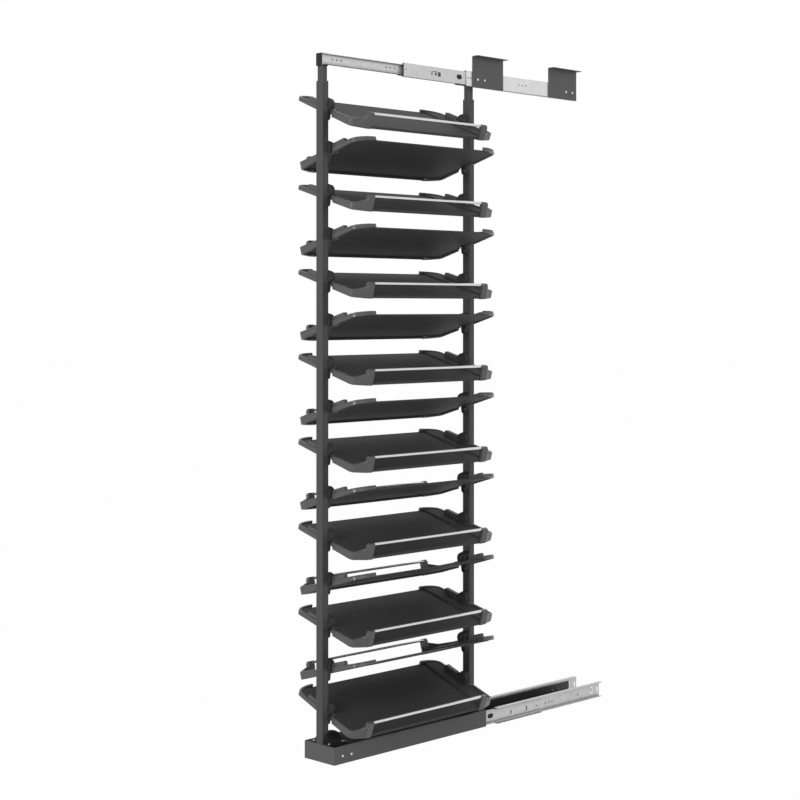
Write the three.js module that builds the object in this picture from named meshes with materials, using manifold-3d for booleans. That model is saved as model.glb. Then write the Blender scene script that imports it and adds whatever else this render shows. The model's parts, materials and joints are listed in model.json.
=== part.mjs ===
// A full height, double sided pull out shoe rack for a tall cabinet, drawn pulled out.
//
// Millimetres, +Z up, +X into the cabinet, -Y towards the side it is usually seen from.
// The origin is the centre of the floor channel's underside, on the cabinet floor.
//
// A floor channel and two ceiling brackets are screwed to the cabinet. Three ball slides, two
// on the channel and one on the brackets, carry a base housing with two telescopic posts.
// Fifteen tilting trays hang between the posts, each on two ribbed hubs, and each has a heel
// rail on its low side. Neighbouring trays slope to opposite sides.
import * as THREE from 'three';
import { mergeVertices } from 'three/addons/utils/BufferGeometryUtils.js';
import Module from 'manifold-3d';

const wasm = await Module();
wasm.setup();

// Driving dimensions

const fit = 0.3; // gap between pieces that are seated on or run in each other
const overrun = 1; // how far a cutting solid passes the face that it cuts
const weld = 1e-4; // vertices closer than this are one

const slide = {
  length: 500, // each of the three members
  depth: 12.7, // from the cabinet member's web to the rack member's web
  sheet: 1,
  cabinetHalf: 22.8, // half heights of the three members
  middleHalf: 19.6,
  rackHalf: 16.6,
  cabinetLip: 1.4, // inward lip on the cabinet member's flanges
  outerBall: 1.6, // radius of the balls between cabinet member and middle member
  innerBall: 1.3, // radius of the balls between middle member and rack member
  cageSheet: 0.5,
  raceDepth: 6, // from the cabinet member's web to the line of the balls
  raceHalf: 1.8, // half width of the pressed race
  raceSlope: 0.9, // width of the race's sloping side
  ballRows: 3, // balls in each race of a cage
};

const travel = {
  rack: 562, // from closed to pulled out
  floorMiddle: 295, // what the floor slides' middle members move meanwhile
  topMiddle: 260, // what the top slide's middle member moves meanwhile
  cageEnd: 6, // a cage's distance from the ends of its overlap, when pulled out
};

const channel = {
  length: 500,
  width: 90.4,
  wall: 41, // height of the two walls
  sheet: 1.5,
  slideSetback: 40, // from its front end to the slides' front ends
  holeRadius: 2.7,
  holeEdge: 45, // from each end to the floor screws
  holeSpread: 50, // across the floor, between the two screws at an end
};

const floorSlideHeight = 25; // of the floor slides' centre line, over the cabinet floor

const base = {
  length: 610,
  height: 48,
  sheet: 1.5,
  floorClear: 2,
  memberInset: 98, // from its front end to the rack members' front ends
};

const outerPost = {
  x: 22.5,
  y: 25,
  wall: 2,
  length: 1798,
  inset: 0.3, // from the base's end to the post's face
  chamfer: 0.8,
  grooveWidth: 6,
  grooveDepth: 0.8,
};

const innerPost = {
  wall: 1.5,
  shown: 41, // above the outer post
  inside: 200, // within the outer post
};

const postCap = {
  height: 34,
  front: 1.5, // how far it stands out past the outer post's face
  skirt: 12, // plug that goes down into the inner post
};

const postFoot = {
  plate: 3,
  length: 70, // along X, from the post's outer face
  width: 82,
  radius: 30, // of the domed gusset behind the post
  domeSides: 10,
};

const hub = {
  radius: 20, // of the bracket's round head
  thickness: 10,
  foot: 42, // from the pivot down to the bracket's lower end
  footHalf: 9,
  bore: 5.3,
  sides: 10,
  boreSides: 6,
  trayRadius: 18, // of the tray's own hub
  trayThickness: 10,
};

const tray = {
  count: 15,
  lowest: 91.3, // lowest pivot, over the outer post's bottom
  topClear: 63.1, // from the highest pivot up to the outer post's top
  pastPost: 1.8, // how far a tray's ends reach past the posts' inner faces
  lowDepth: 128, // from the pivot to the low edge
  highDepth: 132,
  cornerX: 65,
  cornerY: 30,
  cornerSteps: 3,
  arm: 67, // from the tray's end to an arm's inner end
  wall: 4, // thickness of the end moulding
  lowWall: [-26, -3], // bottom and top of the moulding, over the pivot and square to the tray
  highWall: [-20.5, -9],
  panTop: -17.5,
  panSheet: 2,
  lowLip: -25, // bottom of each lip
  highLip: -22,
  lipSheet: 2,
  recessHalf: 26, // half width of the clearance round a hub bracket
  tilt: 15.5, // degrees
  endTilt: 21.3, // degrees, for the first and the last tray
};

const horn = {
  length: 22, // along X, from the arm's inner end
  depth: 12,
  top: 20,
};

const rail = {
  radius: 4,
  height: 15.5, // over the pivot
  inset: 8, // from the tray's low edge to the rail's axis
  seat: 8, // how far it goes into each horn
  sides: 8,
};

const grip = {
  from: 30, // from the pivot towards the high side
  to: 66,
  depth: 17, // along X
  top: 2,
};

const ceilingBracket = {
  length: 136,
  height: 92,
  flange: 21,
  sheet: 2,
  under: 1.5, // how far the plate reaches below the top slide
  firstLead: 24.3, // from the cabinet member's front end to the first bracket's
  secondLead: 371.8,
  holeRadius: 2.6,
  plateHoles: [23, 53, 85, 116], // along X, from the bracket's front end
  flangeHoles: [34, 64, 94],
  holeSides: 8,
};

// Places that follow from the sizes above

const postX = base.length - 2 * outerPost.inset - outerPost.x; // between the posts' axes
const innerHalf = (postX - outerPost.x) / 2; // half the clear span between the posts
const cabinetMemberX = -channel.length / 2 + channel.slideSetback;
const baseFront = cabinetMemberX - travel.rack - base.memberInset;
const middleX = baseFront + base.length / 2; // the trays' centre plane
const baseTop = base.floorClear + base.height;
const channelFace = channel.width / 2;
const slideFace = channelFace + fit; // the floor slides' cabinet webs
const baseInner = slideFace + slide.depth + fit;
const baseOuter = baseInner + base.sheet;
const postBottom = baseTop + fit;
const postTop = postBottom + outerPost.length;
const capBottom = postTop + innerPost.shown;
const capTop = capBottom + postCap.height;
const topSlideHeight = capTop - postCap.height / 2;
const topMemberX = baseFront - outerPost.inset; // the top rack member's front end
const topCabinetX = topMemberX + travel.rack;
const topRackFace = -outerPost.y / 2 - fit;
const topCabinetFace = topRackFace - slide.depth;
const trayHalf = innerHalf + tray.pastPost;
const trayPitch = (outerPost.length - tray.lowest - tray.topClear) / (tray.count - 1);
const cavityX = outerPost.x - 2 * outerPost.wall;
const cavityY = outerPost.y - 2 * outerPost.wall;
const hubFace = innerHalf - hub.thickness - fit; // half length of a tray over its hubs
const pinRadius = hub.bore * Math.cos(Math.PI / hub.boreSides) - fit; // turns in the bore's flats

// Ball rows and races of a slide, as half heights
const outerBallLine = slide.cabinetHalf - slide.sheet - fit - slide.outerBall;
const middleRace = outerBallLine - slide.outerBall - fit;
const innerBallLine = middleRace - slide.sheet - fit - slide.innerBall;
const rackRace = innerBallLine - slide.innerBall - fit;
const webGap = slide.cageSheet + 2 * fit;

// Materials

const finish = (color, roughness, metalness) =>
  new THREE.MeshStandardMaterial({ color, roughness, metalness });
const greyPaint = finish('#5c5c5d', 0.5, 0.3);
const basePaint = finish('#5f5f60', 0.5, 0.3);
const blackPlastic = finish('#2f2f31', 0.55, 0);
const trayPlastic = finish('#444547', 0.5, 0);
const brightRail = finish('#e6e6e6', 0.2, 0.9);
const zincSteel = finish('#c9cacb', 0.35, 0.8);
const cageSteel = finish('#3a3a3c', 0.5, 0.2);

// Solids

/** Makes a closed solid of a geometry, whose shared vertices are merged. */
function toSolid(geometry) {
  geometry.deleteAttribute('normal');
  geometry.deleteAttribute('uv');
  const merged = mergeVertices(geometry, weld);
  return new wasm.Manifold(
    new wasm.Mesh({
      numProp: 3,
      vertProperties: Float32Array.from(merged.attributes.position.array),
      triVerts: Uint32Array.from(merged.index.array),
    }),
  );
}

/** Makes a geometry of a solid. */
function toGeometry(solid) {
  const mesh = solid.getMesh();
  const geometry = new THREE.BufferGeometry();
  geometry.setAttribute('position', new THREE.BufferAttribute(mesh.vertProperties, 3));
  geometry.setIndex(new THREE.BufferAttribute(mesh.triVerts, 1));
  return geometry;
}

/** Joins several solids into one. */
const join = (solids) => solids.reduce((whole, solid) => whole.add(solid));

/** Cuts several solids out of one. */
const carve = (solid, tools) => tools.reduce((whole, tool) => whole.subtract(tool), solid);

/** A box between two values on each axis. */
function box([x0, x1], [y0, y1], [z0, z1]) {
  const geometry = new THREE.BoxGeometry(Math.abs(x1 - x0), Math.abs(y1 - y0), Math.abs(z1 - z0));
  geometry.translate((x0 + x1) / 2, (y0 + y1) / 2, (z0 + z1) / 2);
  return toSolid(geometry);
}

/** The geometry of an outline that runs along the last of three axes. */
function extrusion(points, from, to, axes) {
  const shape = new THREE.Shape(points.map(([a, b]) => new THREE.Vector2(a, b)));
  const geometry = new THREE.ExtrudeGeometry(shape, {
    depth: Math.abs(to - from),
    bevelEnabled: false,
  });
  geometry.translate(0, 0, Math.min(from, to));
  return geometry.applyMatrix4(new THREE.Matrix4().makeBasis(...axes));
}

/** The solid of an outline that runs along the last of three axes. */
const extrude = (...outline) => toSolid(extrusion(...outline));

const alongX = [
  new THREE.Vector3(0, 1, 0),
  new THREE.Vector3(0, 0, 1),
  new THREE.Vector3(1, 0, 0),
];
const alongY = [
  new THREE.Vector3(0, 0, 1),
  new THREE.Vector3(1, 0, 0),
  new THREE.Vector3(0, 1, 0),
];
const alongZ = [
  new THREE.Vector3(1, 0, 0),
  new THREE.Vector3(0, 1, 0),
  new THREE.Vector3(0, 0, 1),
];

/** Points of an arc or an elliptical curve, from one angle to another, in degrees. */
function arc([centreA, centreB], [radiusA, radiusB], from, to, steps) {
  return Array.from({ length: steps + 1 }, (_, step) => {
    const angle = THREE.MathUtils.degToRad(from + ((to - from) * step) / steps);
    return [centreA + radiusA * Math.cos(angle), centreB + radiusB * Math.sin(angle)];
  });
}

/** A full round outline. */
function round(centre, radius, sides) {
  return arc(centre, [radius, radius], 0, 360 - 360 / sides, sides - 1);
}

/** A round bar along X, at a place in Y and Z. */
function barX(radius, sides, from, to, y, z) {
  return extrude(round([y, z], radius, sides), from, to, alongX);
}

// Ball slides. A section runs from the web's outer face (a = 0) to the flanges' tips, and its
// second number is a height over the slide's centre line.

/** Closes a half section below the centre line, and gives the whole outline. */
function mirrored(half) {
  return [...half, ...half.map(([a, b]) => [a, -b]).reverse()];
}

/** Half of a channel's outline, from its outer side to the inside of its web. */
function halfSection(outer, sheet) {
  const inside = outer.map(([a, b]) => [Math.max(a, sheet), b - sheet]);
  return [...outer, ...inside.reverse()];
}

/** The cabinet member: a plain channel with inward lips. */
function cabinetSection() {
  const { cabinetHalf, sheet, cabinetLip } = slide;
  const tip = slide.depth - fit;
  return mirrored([
    [0, cabinetHalf],
    [tip, cabinetHalf],
    [tip, cabinetHalf - sheet - cabinetLip],
    [tip - sheet, cabinetHalf - sheet - cabinetLip],
    [tip - sheet, cabinetHalf - sheet],
    [sheet, cabinetHalf - sheet],
  ]);
}

/** The middle member: a channel with a race pressed into each flange. */
function middleSection() {
  const { middleHalf, sheet, raceHalf, raceSlope } = slide;
  const race = slide.raceDepth - sheet - webGap;
  const tip = slide.depth - sheet - webGap - slide.cabinetLip - fit;
  const outer = [
    [0, middleHalf],
    [race - raceHalf, middleHalf],
    [race - raceHalf + raceSlope, middleRace],
    [race + raceHalf - raceSlope, middleRace],
    [race + raceHalf, middleHalf],
    [tip, middleHalf],
  ];
  return mirrored(halfSection(outer, sheet));
}

/** The rack member: faces the other two, with its flanges drawn in to the inner race. */
function rackSection() {
  const { rackHalf, sheet, raceHalf, raceSlope } = slide;
  const race = slide.depth - slide.raceDepth;
  const tip = slide.depth - 2 * sheet - 2 * webGap;
  const outer = [
    [0, rackHalf],
    [race - raceHalf, rackHalf],
    [race - raceHalf + raceSlope, rackRace],
    [tip, rackRace],
  ];
  return mirrored(halfSection(outer, sheet));
}

/** Runs a slide section along X, from a face in Y and in the direction that it opens. */
function slideMember(section, from, face, opens, height) {
  const placed = section.map(([a, b]) => [face + opens * a, height + b]);
  return extrude(placed, from, from + slide.length, alongX);
}

/** A ball cage: a thin channel with balls along its two edges. */
function ballCage([from, to], face, opens, height, { web, line, strip, radius }) {
  const { cageSheet, raceDepth, raceHalf } = slide;
  const section = mirrored([
    [web, strip + cageSheet / 2],
    [raceDepth + raceHalf / 2, strip + cageSheet / 2],
    [raceDepth + raceHalf / 2, strip - cageSheet / 2],
    [web + cageSheet, strip - cageSheet / 2],
  ]);
  const placed = section.map(([a, b]) => [face + opens * a, height + b]);
  const pieces = [extrude(placed, from, to, alongX)];
  for (let row = 0; row < slide.ballRows; row += 1) {
    const x = from + ((to - from) * (row + 0.5)) / slide.ballRows;
    for (const side of [-1, 1]) {
      const ball = new THREE.OctahedronGeometry(radius, 0);
      ball.translate(x, face + opens * raceDepth, height + side * line);
      pieces.push(toSolid(ball));
    }
  }
  return join(pieces);
}

const outerCage = {
  web: slide.sheet + fit,
  line: outerBallLine,
  strip: (slide.middleHalf + slide.cabinetHalf - slide.sheet) / 2,
  radius: slide.outerBall,
};
const innerCage = {
  web: 2 * slide.sheet + webGap + fit,
  line: innerBallLine,
  strip: innerBallLine,
  radius: slide.innerBall,
};

/** The five pieces of one ball slide, by the place of its cabinet member's web. */
function ballSlide(prefix, { cabinetX, middleTravel, face, opens, height }) {
  const middleFrom = cabinetX - middleTravel;
  const rackFrom = cabinetX - travel.rack;
  const middleFace = face + opens * (slide.sheet + webGap);
  const rackFace = face + opens * slide.depth;
  const overlapOuter = [cabinetX + travel.cageEnd, middleFrom + slide.length - travel.cageEnd];
  const overlapInner = [middleFrom + travel.cageEnd, rackFrom + slide.length - travel.cageEnd];
  addPart(
    `${prefix}_cabinet_member`,
    slideMember(cabinetSection(), cabinetX, face, opens, height),
    zincSteel,
  );
  addPart(
    `${prefix}_middle_member`,
    slideMember(middleSection(), middleFrom, middleFace, opens, height),
    zincSteel,
  );
  addPart(
    `${prefix}_rack_member`,
    slideMember(rackSection(), rackFrom, rackFace, -opens, height),
    zincSteel,
  );
  addPart(`${prefix}_outer_cage`, ballCage(overlapOuter, face, opens, height, outerCage), cageSteel);
  addPart(`${prefix}_inner_cage`, ballCage(overlapInner, face, opens, height, innerCage), cageSteel);
}

// Fixed pieces

/** The open channel that is screwed to the cabinet floor and carries the two floor slides. */
function floorChannel() {
  const half = channel.length / 2;
  const { sheet } = channel;
  const section = mirroredAcross([
    [channelFace, 0],
    [channelFace, channel.wall],
    [channelFace - sheet, channel.wall],
    [channelFace - sheet, sheet],
  ]);
  const holes = [];
  for (const end of [-1, 1]) {
    for (const side of [-1, 1]) {
      const centre = [end * (half - channel.holeEdge), (side * channel.holeSpread) / 2];
      const outline = round(centre, channel.holeRadius, ceilingBracket.holeSides);
      holes.push(extrude(outline, -overrun, sheet + overrun, alongZ));
    }
  }
  return carve(extrude(section, -half, half, alongX), holes);
}

/** Closes a half section on the far side of the centre plane, and gives the whole outline. */
function mirroredAcross(half) {
  return [...half, ...half.map(([a, b]) => [-a, b]).reverse()];
}

/** An angle bracket between the top slide's web and the cabinet ceiling. */
function topBracket(from) {
  const { length, height, flange, sheet, under, holeRadius, holeSides } = ceilingBracket;
  const plateFace = topCabinetFace - fit;
  const bottom = topSlideHeight - slide.cabinetHalf - under;
  const top = bottom + height;
  const section = [
    [plateFace, bottom],
    [plateFace, top],
    [plateFace - sheet - flange, top],
    [plateFace - sheet - flange, top - sheet],
    [plateFace - sheet, top - sheet],
    [plateFace - sheet, bottom],
  ];
  const plateHole = (x) =>
    extrude(
      round([topSlideHeight, from + x], holeRadius, holeSides),
      plateFace - sheet - overrun,
      plateFace + overrun,
      alongY,
    );
  const flangeHole = (x) =>
    extrude(
      round([from + x, plateFace - sheet - flange / 2], holeRadius, holeSides),
      top - sheet - overrun,
      top + overrun,
      alongZ,
    );
  return carve(extrude(section, from, from + length, alongX), [
    ...ceilingBracket.plateHoles.map(plateHole),
    ...ceilingBracket.flangeHoles.map(flangeHole),
  ]);
}

// The rack's frame

/** The base housing: a long box, open below and at its cabinet end. */
function baseHousing() {
  const rear = baseFront + base.length;
  const shell = box([baseFront, rear], [-baseOuter, baseOuter], [base.floorClear, baseTop]);
  const inside = box(
    [baseFront + base.sheet, rear + overrun],
    [-baseInner, baseInner],
    [base.floorClear - overrun, baseTop - base.sheet],
  );
  return carve(shell, [inside]);
}

/** The outline of the outer post: a chamfered tube with a shallow groove on two faces. */
function outerPostOutline(x) {
  const halfX = outerPost.x / 2;
  const halfY = outerPost.y / 2;
  const { chamfer, grooveWidth, grooveDepth } = outerPost;
  const quarter = [
    [halfX, halfY - chamfer],
    [halfX - chamfer, halfY],
    [grooveWidth / 2, halfY],
    [grooveWidth / 2, halfY - grooveDepth],
  ];
  const halfOutline = [...quarter, ...quarter.map(([a, b]) => [-a, b]).reverse()];
  return mirrored(halfOutline).map(([a, b]) => [x + a, b]);
}

/** An upright bar of rectangular section, centred on the posts' plane. */
function upright(x, sizeX, sizeY, from, to) {
  return box([x - sizeX / 2, x + sizeX / 2], [-sizeY / 2, sizeY / 2], [from, to]);
}

/** The height of a tray's pivot, counted from 1 at the top. */
const pivotHeight = (number) => postBottom + tray.lowest + trayPitch * (tray.count - number);

/** A hub bracket: a round head with a foot, clamped on the post's inner face. */
function hubBracket(face, inward, height) {
  const head = arc([0, height], [hub.radius, hub.radius], -50, 230, hub.sides);
  const outline = [...head, [-hub.footHalf, height - hub.foot], [hub.footHalf, height - hub.foot]];
  const buried = face - (inward * outerPost.wall) / 2;
  const bracket = extrude(outline, buried, face + inward * hub.thickness, alongX);
  const bore = barX(
    hub.bore,
    hub.boreSides,
    face + inward * fit,
    face + inward * (hub.thickness + overrun),
    0,
    height,
  );
  return carve(bracket, [bore]);
}

/** An outer post with its fifteen hub brackets; inward points to the trays. */
function outerPostWithHubs(x, inward) {
  const tube = carve(extrude(outerPostOutline(x), postBottom, postTop, alongZ), [
    upright(x, cavityX, cavityY, postBottom - overrun, postTop + overrun),
  ]);
  const face = x + (inward * outerPost.x) / 2;
  const pieces = [tube];
  for (let number = 1; number <= tray.count; number += 1) {
    pieces.push(hubBracket(face, inward, pivotHeight(number)));
  }
  return join(pieces);
}

/** The inner post, which slides in the outer one to suit the cabinet's height. */
function innerPostTube(x) {
  const sizeX = cavityX - 2 * fit;
  const sizeY = cavityY - 2 * fit;
  const { wall, inside } = innerPost;
  const bottom = postTop - inside;
  const top = capBottom - fit;
  return carve(upright(x, sizeX, sizeY, bottom, top), [
    upright(x, sizeX - 2 * wall, sizeY - 2 * wall, bottom - overrun, top + overrun),
  ]);
}

/** The cap on an inner post, to which the top slide's rack member is screwed. */
function topCap(x, outward) {
  const halfX = outerPost.x / 2;
  const halfY = outerPost.y / 2;
  const plugX = cavityX - 4 * fit - 2 * innerPost.wall;
  const plugY = cavityY - 4 * fit - 2 * innerPost.wall;
  return join([
    upright(x, outerPost.x, outerPost.y, capBottom, capTop),
    box(
      [x + (outward * halfX) / 2, x + outward * (halfX + postCap.front)],
      [-halfY, halfY],
      [capBottom, capTop],
    ),
    upright(x, plugX, plugY, capBottom - postCap.skirt, capTop - postCap.height / 2),
  ]);
}

/** The post's foot: a plate round the post, with a domed gusset on the trays' side. */
function footPiece(x, inward) {
  const outer = x - (inward * outerPost.x) / 2;
  const bottom = baseTop + fit;
  const dome = arc([0, bottom], [postFoot.radius, postFoot.radius], 0, 180, postFoot.domeSides);
  const solid = join([
    box(
      [outer, outer + inward * postFoot.length],
      [-postFoot.width / 2, postFoot.width / 2],
      [bottom, bottom + postFoot.plate],
    ),
    extrude(dome, x, outer + inward * (postFoot.length - postFoot.plate), alongX),
  ]);
  const hole = box(
    [outer - inward * overrun, x + inward * (outerPost.x / 2 + fit)],
    [-outerPost.y / 2 - fit, outerPost.y / 2 + fit],
    [bottom - overrun, bottom + postFoot.radius + overrun],
  );
  return carve(solid, [hole]);
}

// Trays, in a frame of their own: the origin on the pivot axis at mid length, -y to the low side

/** Half of a tray's plan, at its +x end, drawn in by some distance from the outside. */
function endPath(inset) {
  const { lowDepth, highDepth, cornerX, cornerY, cornerSteps, recessHalf } = tray;
  const radii = [cornerX - inset, cornerY - inset];
  const centreX = trayHalf - cornerX;
  return [
    [trayHalf - tray.arm, inset - lowDepth],
    ...arc([centreX, cornerY - lowDepth], radii, -90, 0, cornerSteps),
    [trayHalf - inset, -recessHalf - inset],
    [hubFace - inset, -recessHalf - inset],
    [hubFace - inset, recessHalf + inset],
    [trayHalf - inset, recessHalf + inset],
    ...arc([centreX, highDepth - cornerY], radii, 0, 90, cornerSteps),
    [trayHalf - tray.arm, highDepth - inset],
  ];
}

/** The heights between which the moulding stands, at a distance from the pivot. */
function wallAt(y) {
  const share = (y + tray.lowDepth) / (tray.lowDepth + tray.highDepth);
  return tray.lowWall.map((low, end) => THREE.MathUtils.lerp(low, tray.highWall[end], share));
}

/** The moulding at one end: a thin wall along the edge, which rises to the horn. */
function moulding(end) {
  const outline = [...endPath(0), ...endPath(tray.wall).reverse()].map(([x, y]) => [end * x, y]);
  const geometry = extrusion(outline, 0, 1, alongZ);
  const places = geometry.attributes.position;
  const straight = trayHalf - tray.cornerX + overrun;
  for (let i = 0; i < places.count; i += 1) {
    const y = places.getY(i);
    const [bottom, edge] = wallAt(y);
    const top = y < 0 && end * places.getX(i) < straight ? horn.top : edge;
    places.setZ(i, THREE.MathUtils.lerp(bottom, top, places.getZ(i)));
  }
  return toSolid(geometry);
}

/** The pieces at one end of a tray: moulding, hub, pivot pin, horn and grip. */
function trayEnd(end) {
  const armEnd = trayHalf - tray.arm;
  const socket = barX(
    rail.radius + fit,
    rail.sides,
    end * (armEnd - overrun),
    end * (armEnd + rail.seat + fit),
    rail.inset - tray.lowDepth,
    rail.height,
  );
  const pieces = [
    moulding(end),
    box(
      [end * armEnd, end * (armEnd + horn.length)],
      [-tray.lowDepth, horn.depth - tray.lowDepth],
      [tray.lowWall[0], horn.top],
    ),
    barX(hub.trayRadius, hub.sides, end * (hubFace - hub.trayThickness), end * hubFace, 0, 0),
    barX(
      pinRadius,
      hub.boreSides,
      end * (hubFace - hub.trayThickness / 2),
      end * (innerHalf - 2 * fit),
      0,
      0,
    ),
    box(
      [end * (trayHalf - grip.depth), end * (trayHalf - tray.wall / 2)],
      [grip.from, grip.to],
      [tray.panTop - tray.panSheet / 2, grip.top],
    ),
  ];
  return carve(join(pieces), [socket]);
}

/** A whole tray: the pan with its two lips, and an end piece at each end. */
function wholeTray() {
  const { panTop, panSheet, lowLip, highLip, lipSheet, lowDepth, highDepth, wall } = tray;
  const pan = [
    ...endPath(wall / 2),
    ...endPath(wall / 2)
      .map(([x, y]) => [-x, y])
      .reverse(),
  ];
  const lipEnd = trayHalf - tray.arm + wall;
  const lip = (face, inward, bottom) =>
    box([-lipEnd, lipEnd], [face, face + inward * lipSheet], [bottom, panTop]);
  return join([
    extrude(pan, panTop - panSheet, panTop, alongZ),
    lip(wall / 2 - lowDepth, 1, lowLip),
    lip(highDepth - wall / 2, -1, highLip),
    trayEnd(-1),
    trayEnd(1),
  ]);
}

/** A heel rail, which stands in the two horns of its tray. */
function heelRail() {
  const end = trayHalf - tray.arm + rail.seat;
  return barX(rail.radius, rail.sides, -end, end, rail.inset - tray.lowDepth, rail.height);
}

// The whole rack

const group = new THREE.Group();

/** Adds one named piece, in the model's frame or in a group of its own. */
function addPart(name, solid, material, parent = group) {
  const mesh = new THREE.Mesh(solid.isBufferGeometry ? solid : toGeometry(solid), material);
  mesh.name = name;
  parent.add(mesh);
}

addPart('floor_channel', floorChannel(), greyPaint);
ballSlide('near_floor_slide', {
  cabinetX: cabinetMemberX,
  middleTravel: travel.floorMiddle,
  face: -slideFace,
  opens: -1,
  height: floorSlideHeight,
});
ballSlide('far_floor_slide', {
  cabinetX: cabinetMemberX,
  middleTravel: travel.floorMiddle,
  face: slideFace,
  opens: 1,
  height: floorSlideHeight,
});
ballSlide('top_slide', {
  cabinetX: topCabinetX,
  middleTravel: travel.topMiddle,
  face: topCabinetFace,
  opens: 1,
  height: topSlideHeight,
});
addPart('ceiling_bracket_front', topBracket(topCabinetX + ceilingBracket.firstLead), greyPaint);
addPart('ceiling_bracket_rear', topBracket(topCabinetX + ceilingBracket.secondLead), greyPaint);
addPart('base_housing', baseHousing(), basePaint);
for (const [place, outward] of [['front', -1], ['rear', 1]]) {
  const x = middleX + (outward * postX) / 2;
  addPart(`${place}_outer_post`, outerPostWithHubs(x, -outward), greyPaint);
  addPart(`${place}_inner_post`, innerPostTube(x), greyPaint);
  addPart(`${place}_post_cap`, topCap(x, outward), blackPlastic);
  addPart(`${place}_post_foot`, footPiece(x, -outward), blackPlastic);
}

const trayGeometry = toGeometry(wholeTray());
const railGeometry = toGeometry(heelRail());
for (let number = 1; number <= tray.count; number += 1) {
  const label = String(number).padStart(2, '0');
  const lowNear = number % 2 === 1;
  const tilt = number === 1 || number === tray.count ? tray.endTilt : tray.tilt;
  const place = new THREE.Group();
  place.position.set(middleX, 0, pivotHeight(number));
  place.rotation.set(
    THREE.MathUtils.degToRad(lowNear ? tilt : -tilt),
    0,
    lowNear ? 0 : Math.PI,
  );
  group.add(place);
  addPart(`tray_${label}`, trayGeometry, trayPlastic, place);
  addPart(`heel_rail_${label}`, railGeometry, brightRail, place);
}

export default group;
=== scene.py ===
"""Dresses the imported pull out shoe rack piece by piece, and sets up its camera and studio.

Outlines and sections are in millimetres and become metres when a mesh is made. Every place comes
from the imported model's own nodes and joints.
"""

from __future__ import annotations

import json
import logging
import math
from collections.abc import Callable
from dataclasses import dataclass
from enum import Enum
from functools import cached_property, partial

import bmesh
import bpy
from mathutils import Matrix, Vector
from mathutils.geometry import tessellate_polygon

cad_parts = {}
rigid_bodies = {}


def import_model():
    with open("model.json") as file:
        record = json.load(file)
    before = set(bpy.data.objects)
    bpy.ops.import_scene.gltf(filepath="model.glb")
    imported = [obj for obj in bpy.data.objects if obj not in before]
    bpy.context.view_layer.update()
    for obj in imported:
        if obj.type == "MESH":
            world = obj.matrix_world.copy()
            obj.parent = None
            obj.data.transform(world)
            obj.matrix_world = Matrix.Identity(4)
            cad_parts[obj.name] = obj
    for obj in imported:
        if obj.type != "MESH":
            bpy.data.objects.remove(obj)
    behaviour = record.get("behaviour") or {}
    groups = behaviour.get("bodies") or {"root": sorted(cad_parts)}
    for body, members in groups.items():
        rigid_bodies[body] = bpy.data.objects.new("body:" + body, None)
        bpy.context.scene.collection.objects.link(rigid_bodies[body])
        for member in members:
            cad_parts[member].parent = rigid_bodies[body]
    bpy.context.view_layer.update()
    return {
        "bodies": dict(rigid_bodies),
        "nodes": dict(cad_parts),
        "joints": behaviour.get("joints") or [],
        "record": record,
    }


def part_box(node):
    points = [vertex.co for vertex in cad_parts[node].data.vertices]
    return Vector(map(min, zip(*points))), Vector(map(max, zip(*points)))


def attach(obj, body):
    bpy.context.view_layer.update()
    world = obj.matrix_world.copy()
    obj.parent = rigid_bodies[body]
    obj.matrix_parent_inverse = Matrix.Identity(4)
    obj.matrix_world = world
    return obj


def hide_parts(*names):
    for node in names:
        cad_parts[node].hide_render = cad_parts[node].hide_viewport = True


LOG = logging.getLogger("shoe_rack")
METRES = 0.001
OVERRUN = 5

Point = tuple[float, float]
Outline = list[Point]
Colour = tuple[float, float, float]
Place = tuple[float, float, float]
Piece = bpy.types.Object
Socket = bpy.types.NodeSocket
Value = Socket | float | tuple[float, ...]


# Outlines


def arc(centre: Point, radius: Point, start: float, end: float, steps: int) -> Outline:
    """Gives the points of an arc.

    Args:
        centre: The arc's centre.
        radius: The radius along each of the two axes.
        start: The first angle, in degrees.
        end: The last angle, in degrees.
        steps: How many straight pieces the arc has.

    Returns:
        The points, both ends included.
    """
    angles = [math.radians(start + (end - start) * step / steps) for step in range(steps + 1)]
    return [
        (centre[0] + radius[0] * math.cos(turn), centre[1] + radius[1] * math.sin(turn))
        for turn in angles
    ]


def disc(centre: Point, radius: float, sides: int = 24) -> Outline:
    """Gives a full round outline."""
    return arc(centre, (radius, radius), 0, 360 - 360 / sides, sides - 1)


def slot_outline(centre: Point, length: float, width: float, steps: int = 8) -> Outline:
    """Gives a slot with round ends, whose length runs along the first axis.

    Args:
        centre: The slot's centre.
        length: Its length over the round ends.
        width: Its width.
        steps: How many straight pieces each end has.

    Returns:
        The outline's points.
    """
    reach, half = (length - width) / 2, width / 2
    right = arc((centre[0] + reach, centre[1]), (half, half), -90, 90, steps)
    return right + arc((centre[0] - reach, centre[1]), (half, half), 90, 270, steps)


def rectangle(first: Point, second: Point) -> Outline:
    """Gives a rectangle between two values on each axis."""
    (a0, a1), (b0, b1) = sorted(first), sorted(second)
    return [(a0, b0), (a1, b0), (a1, b1), (a0, b1)]


def mirrored(upper: Outline) -> Outline:
    """Joins the upper half of a section's path to its mirror image below the axis."""
    return [(a, -b) for a, b in reversed(upper)] + upper


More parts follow.
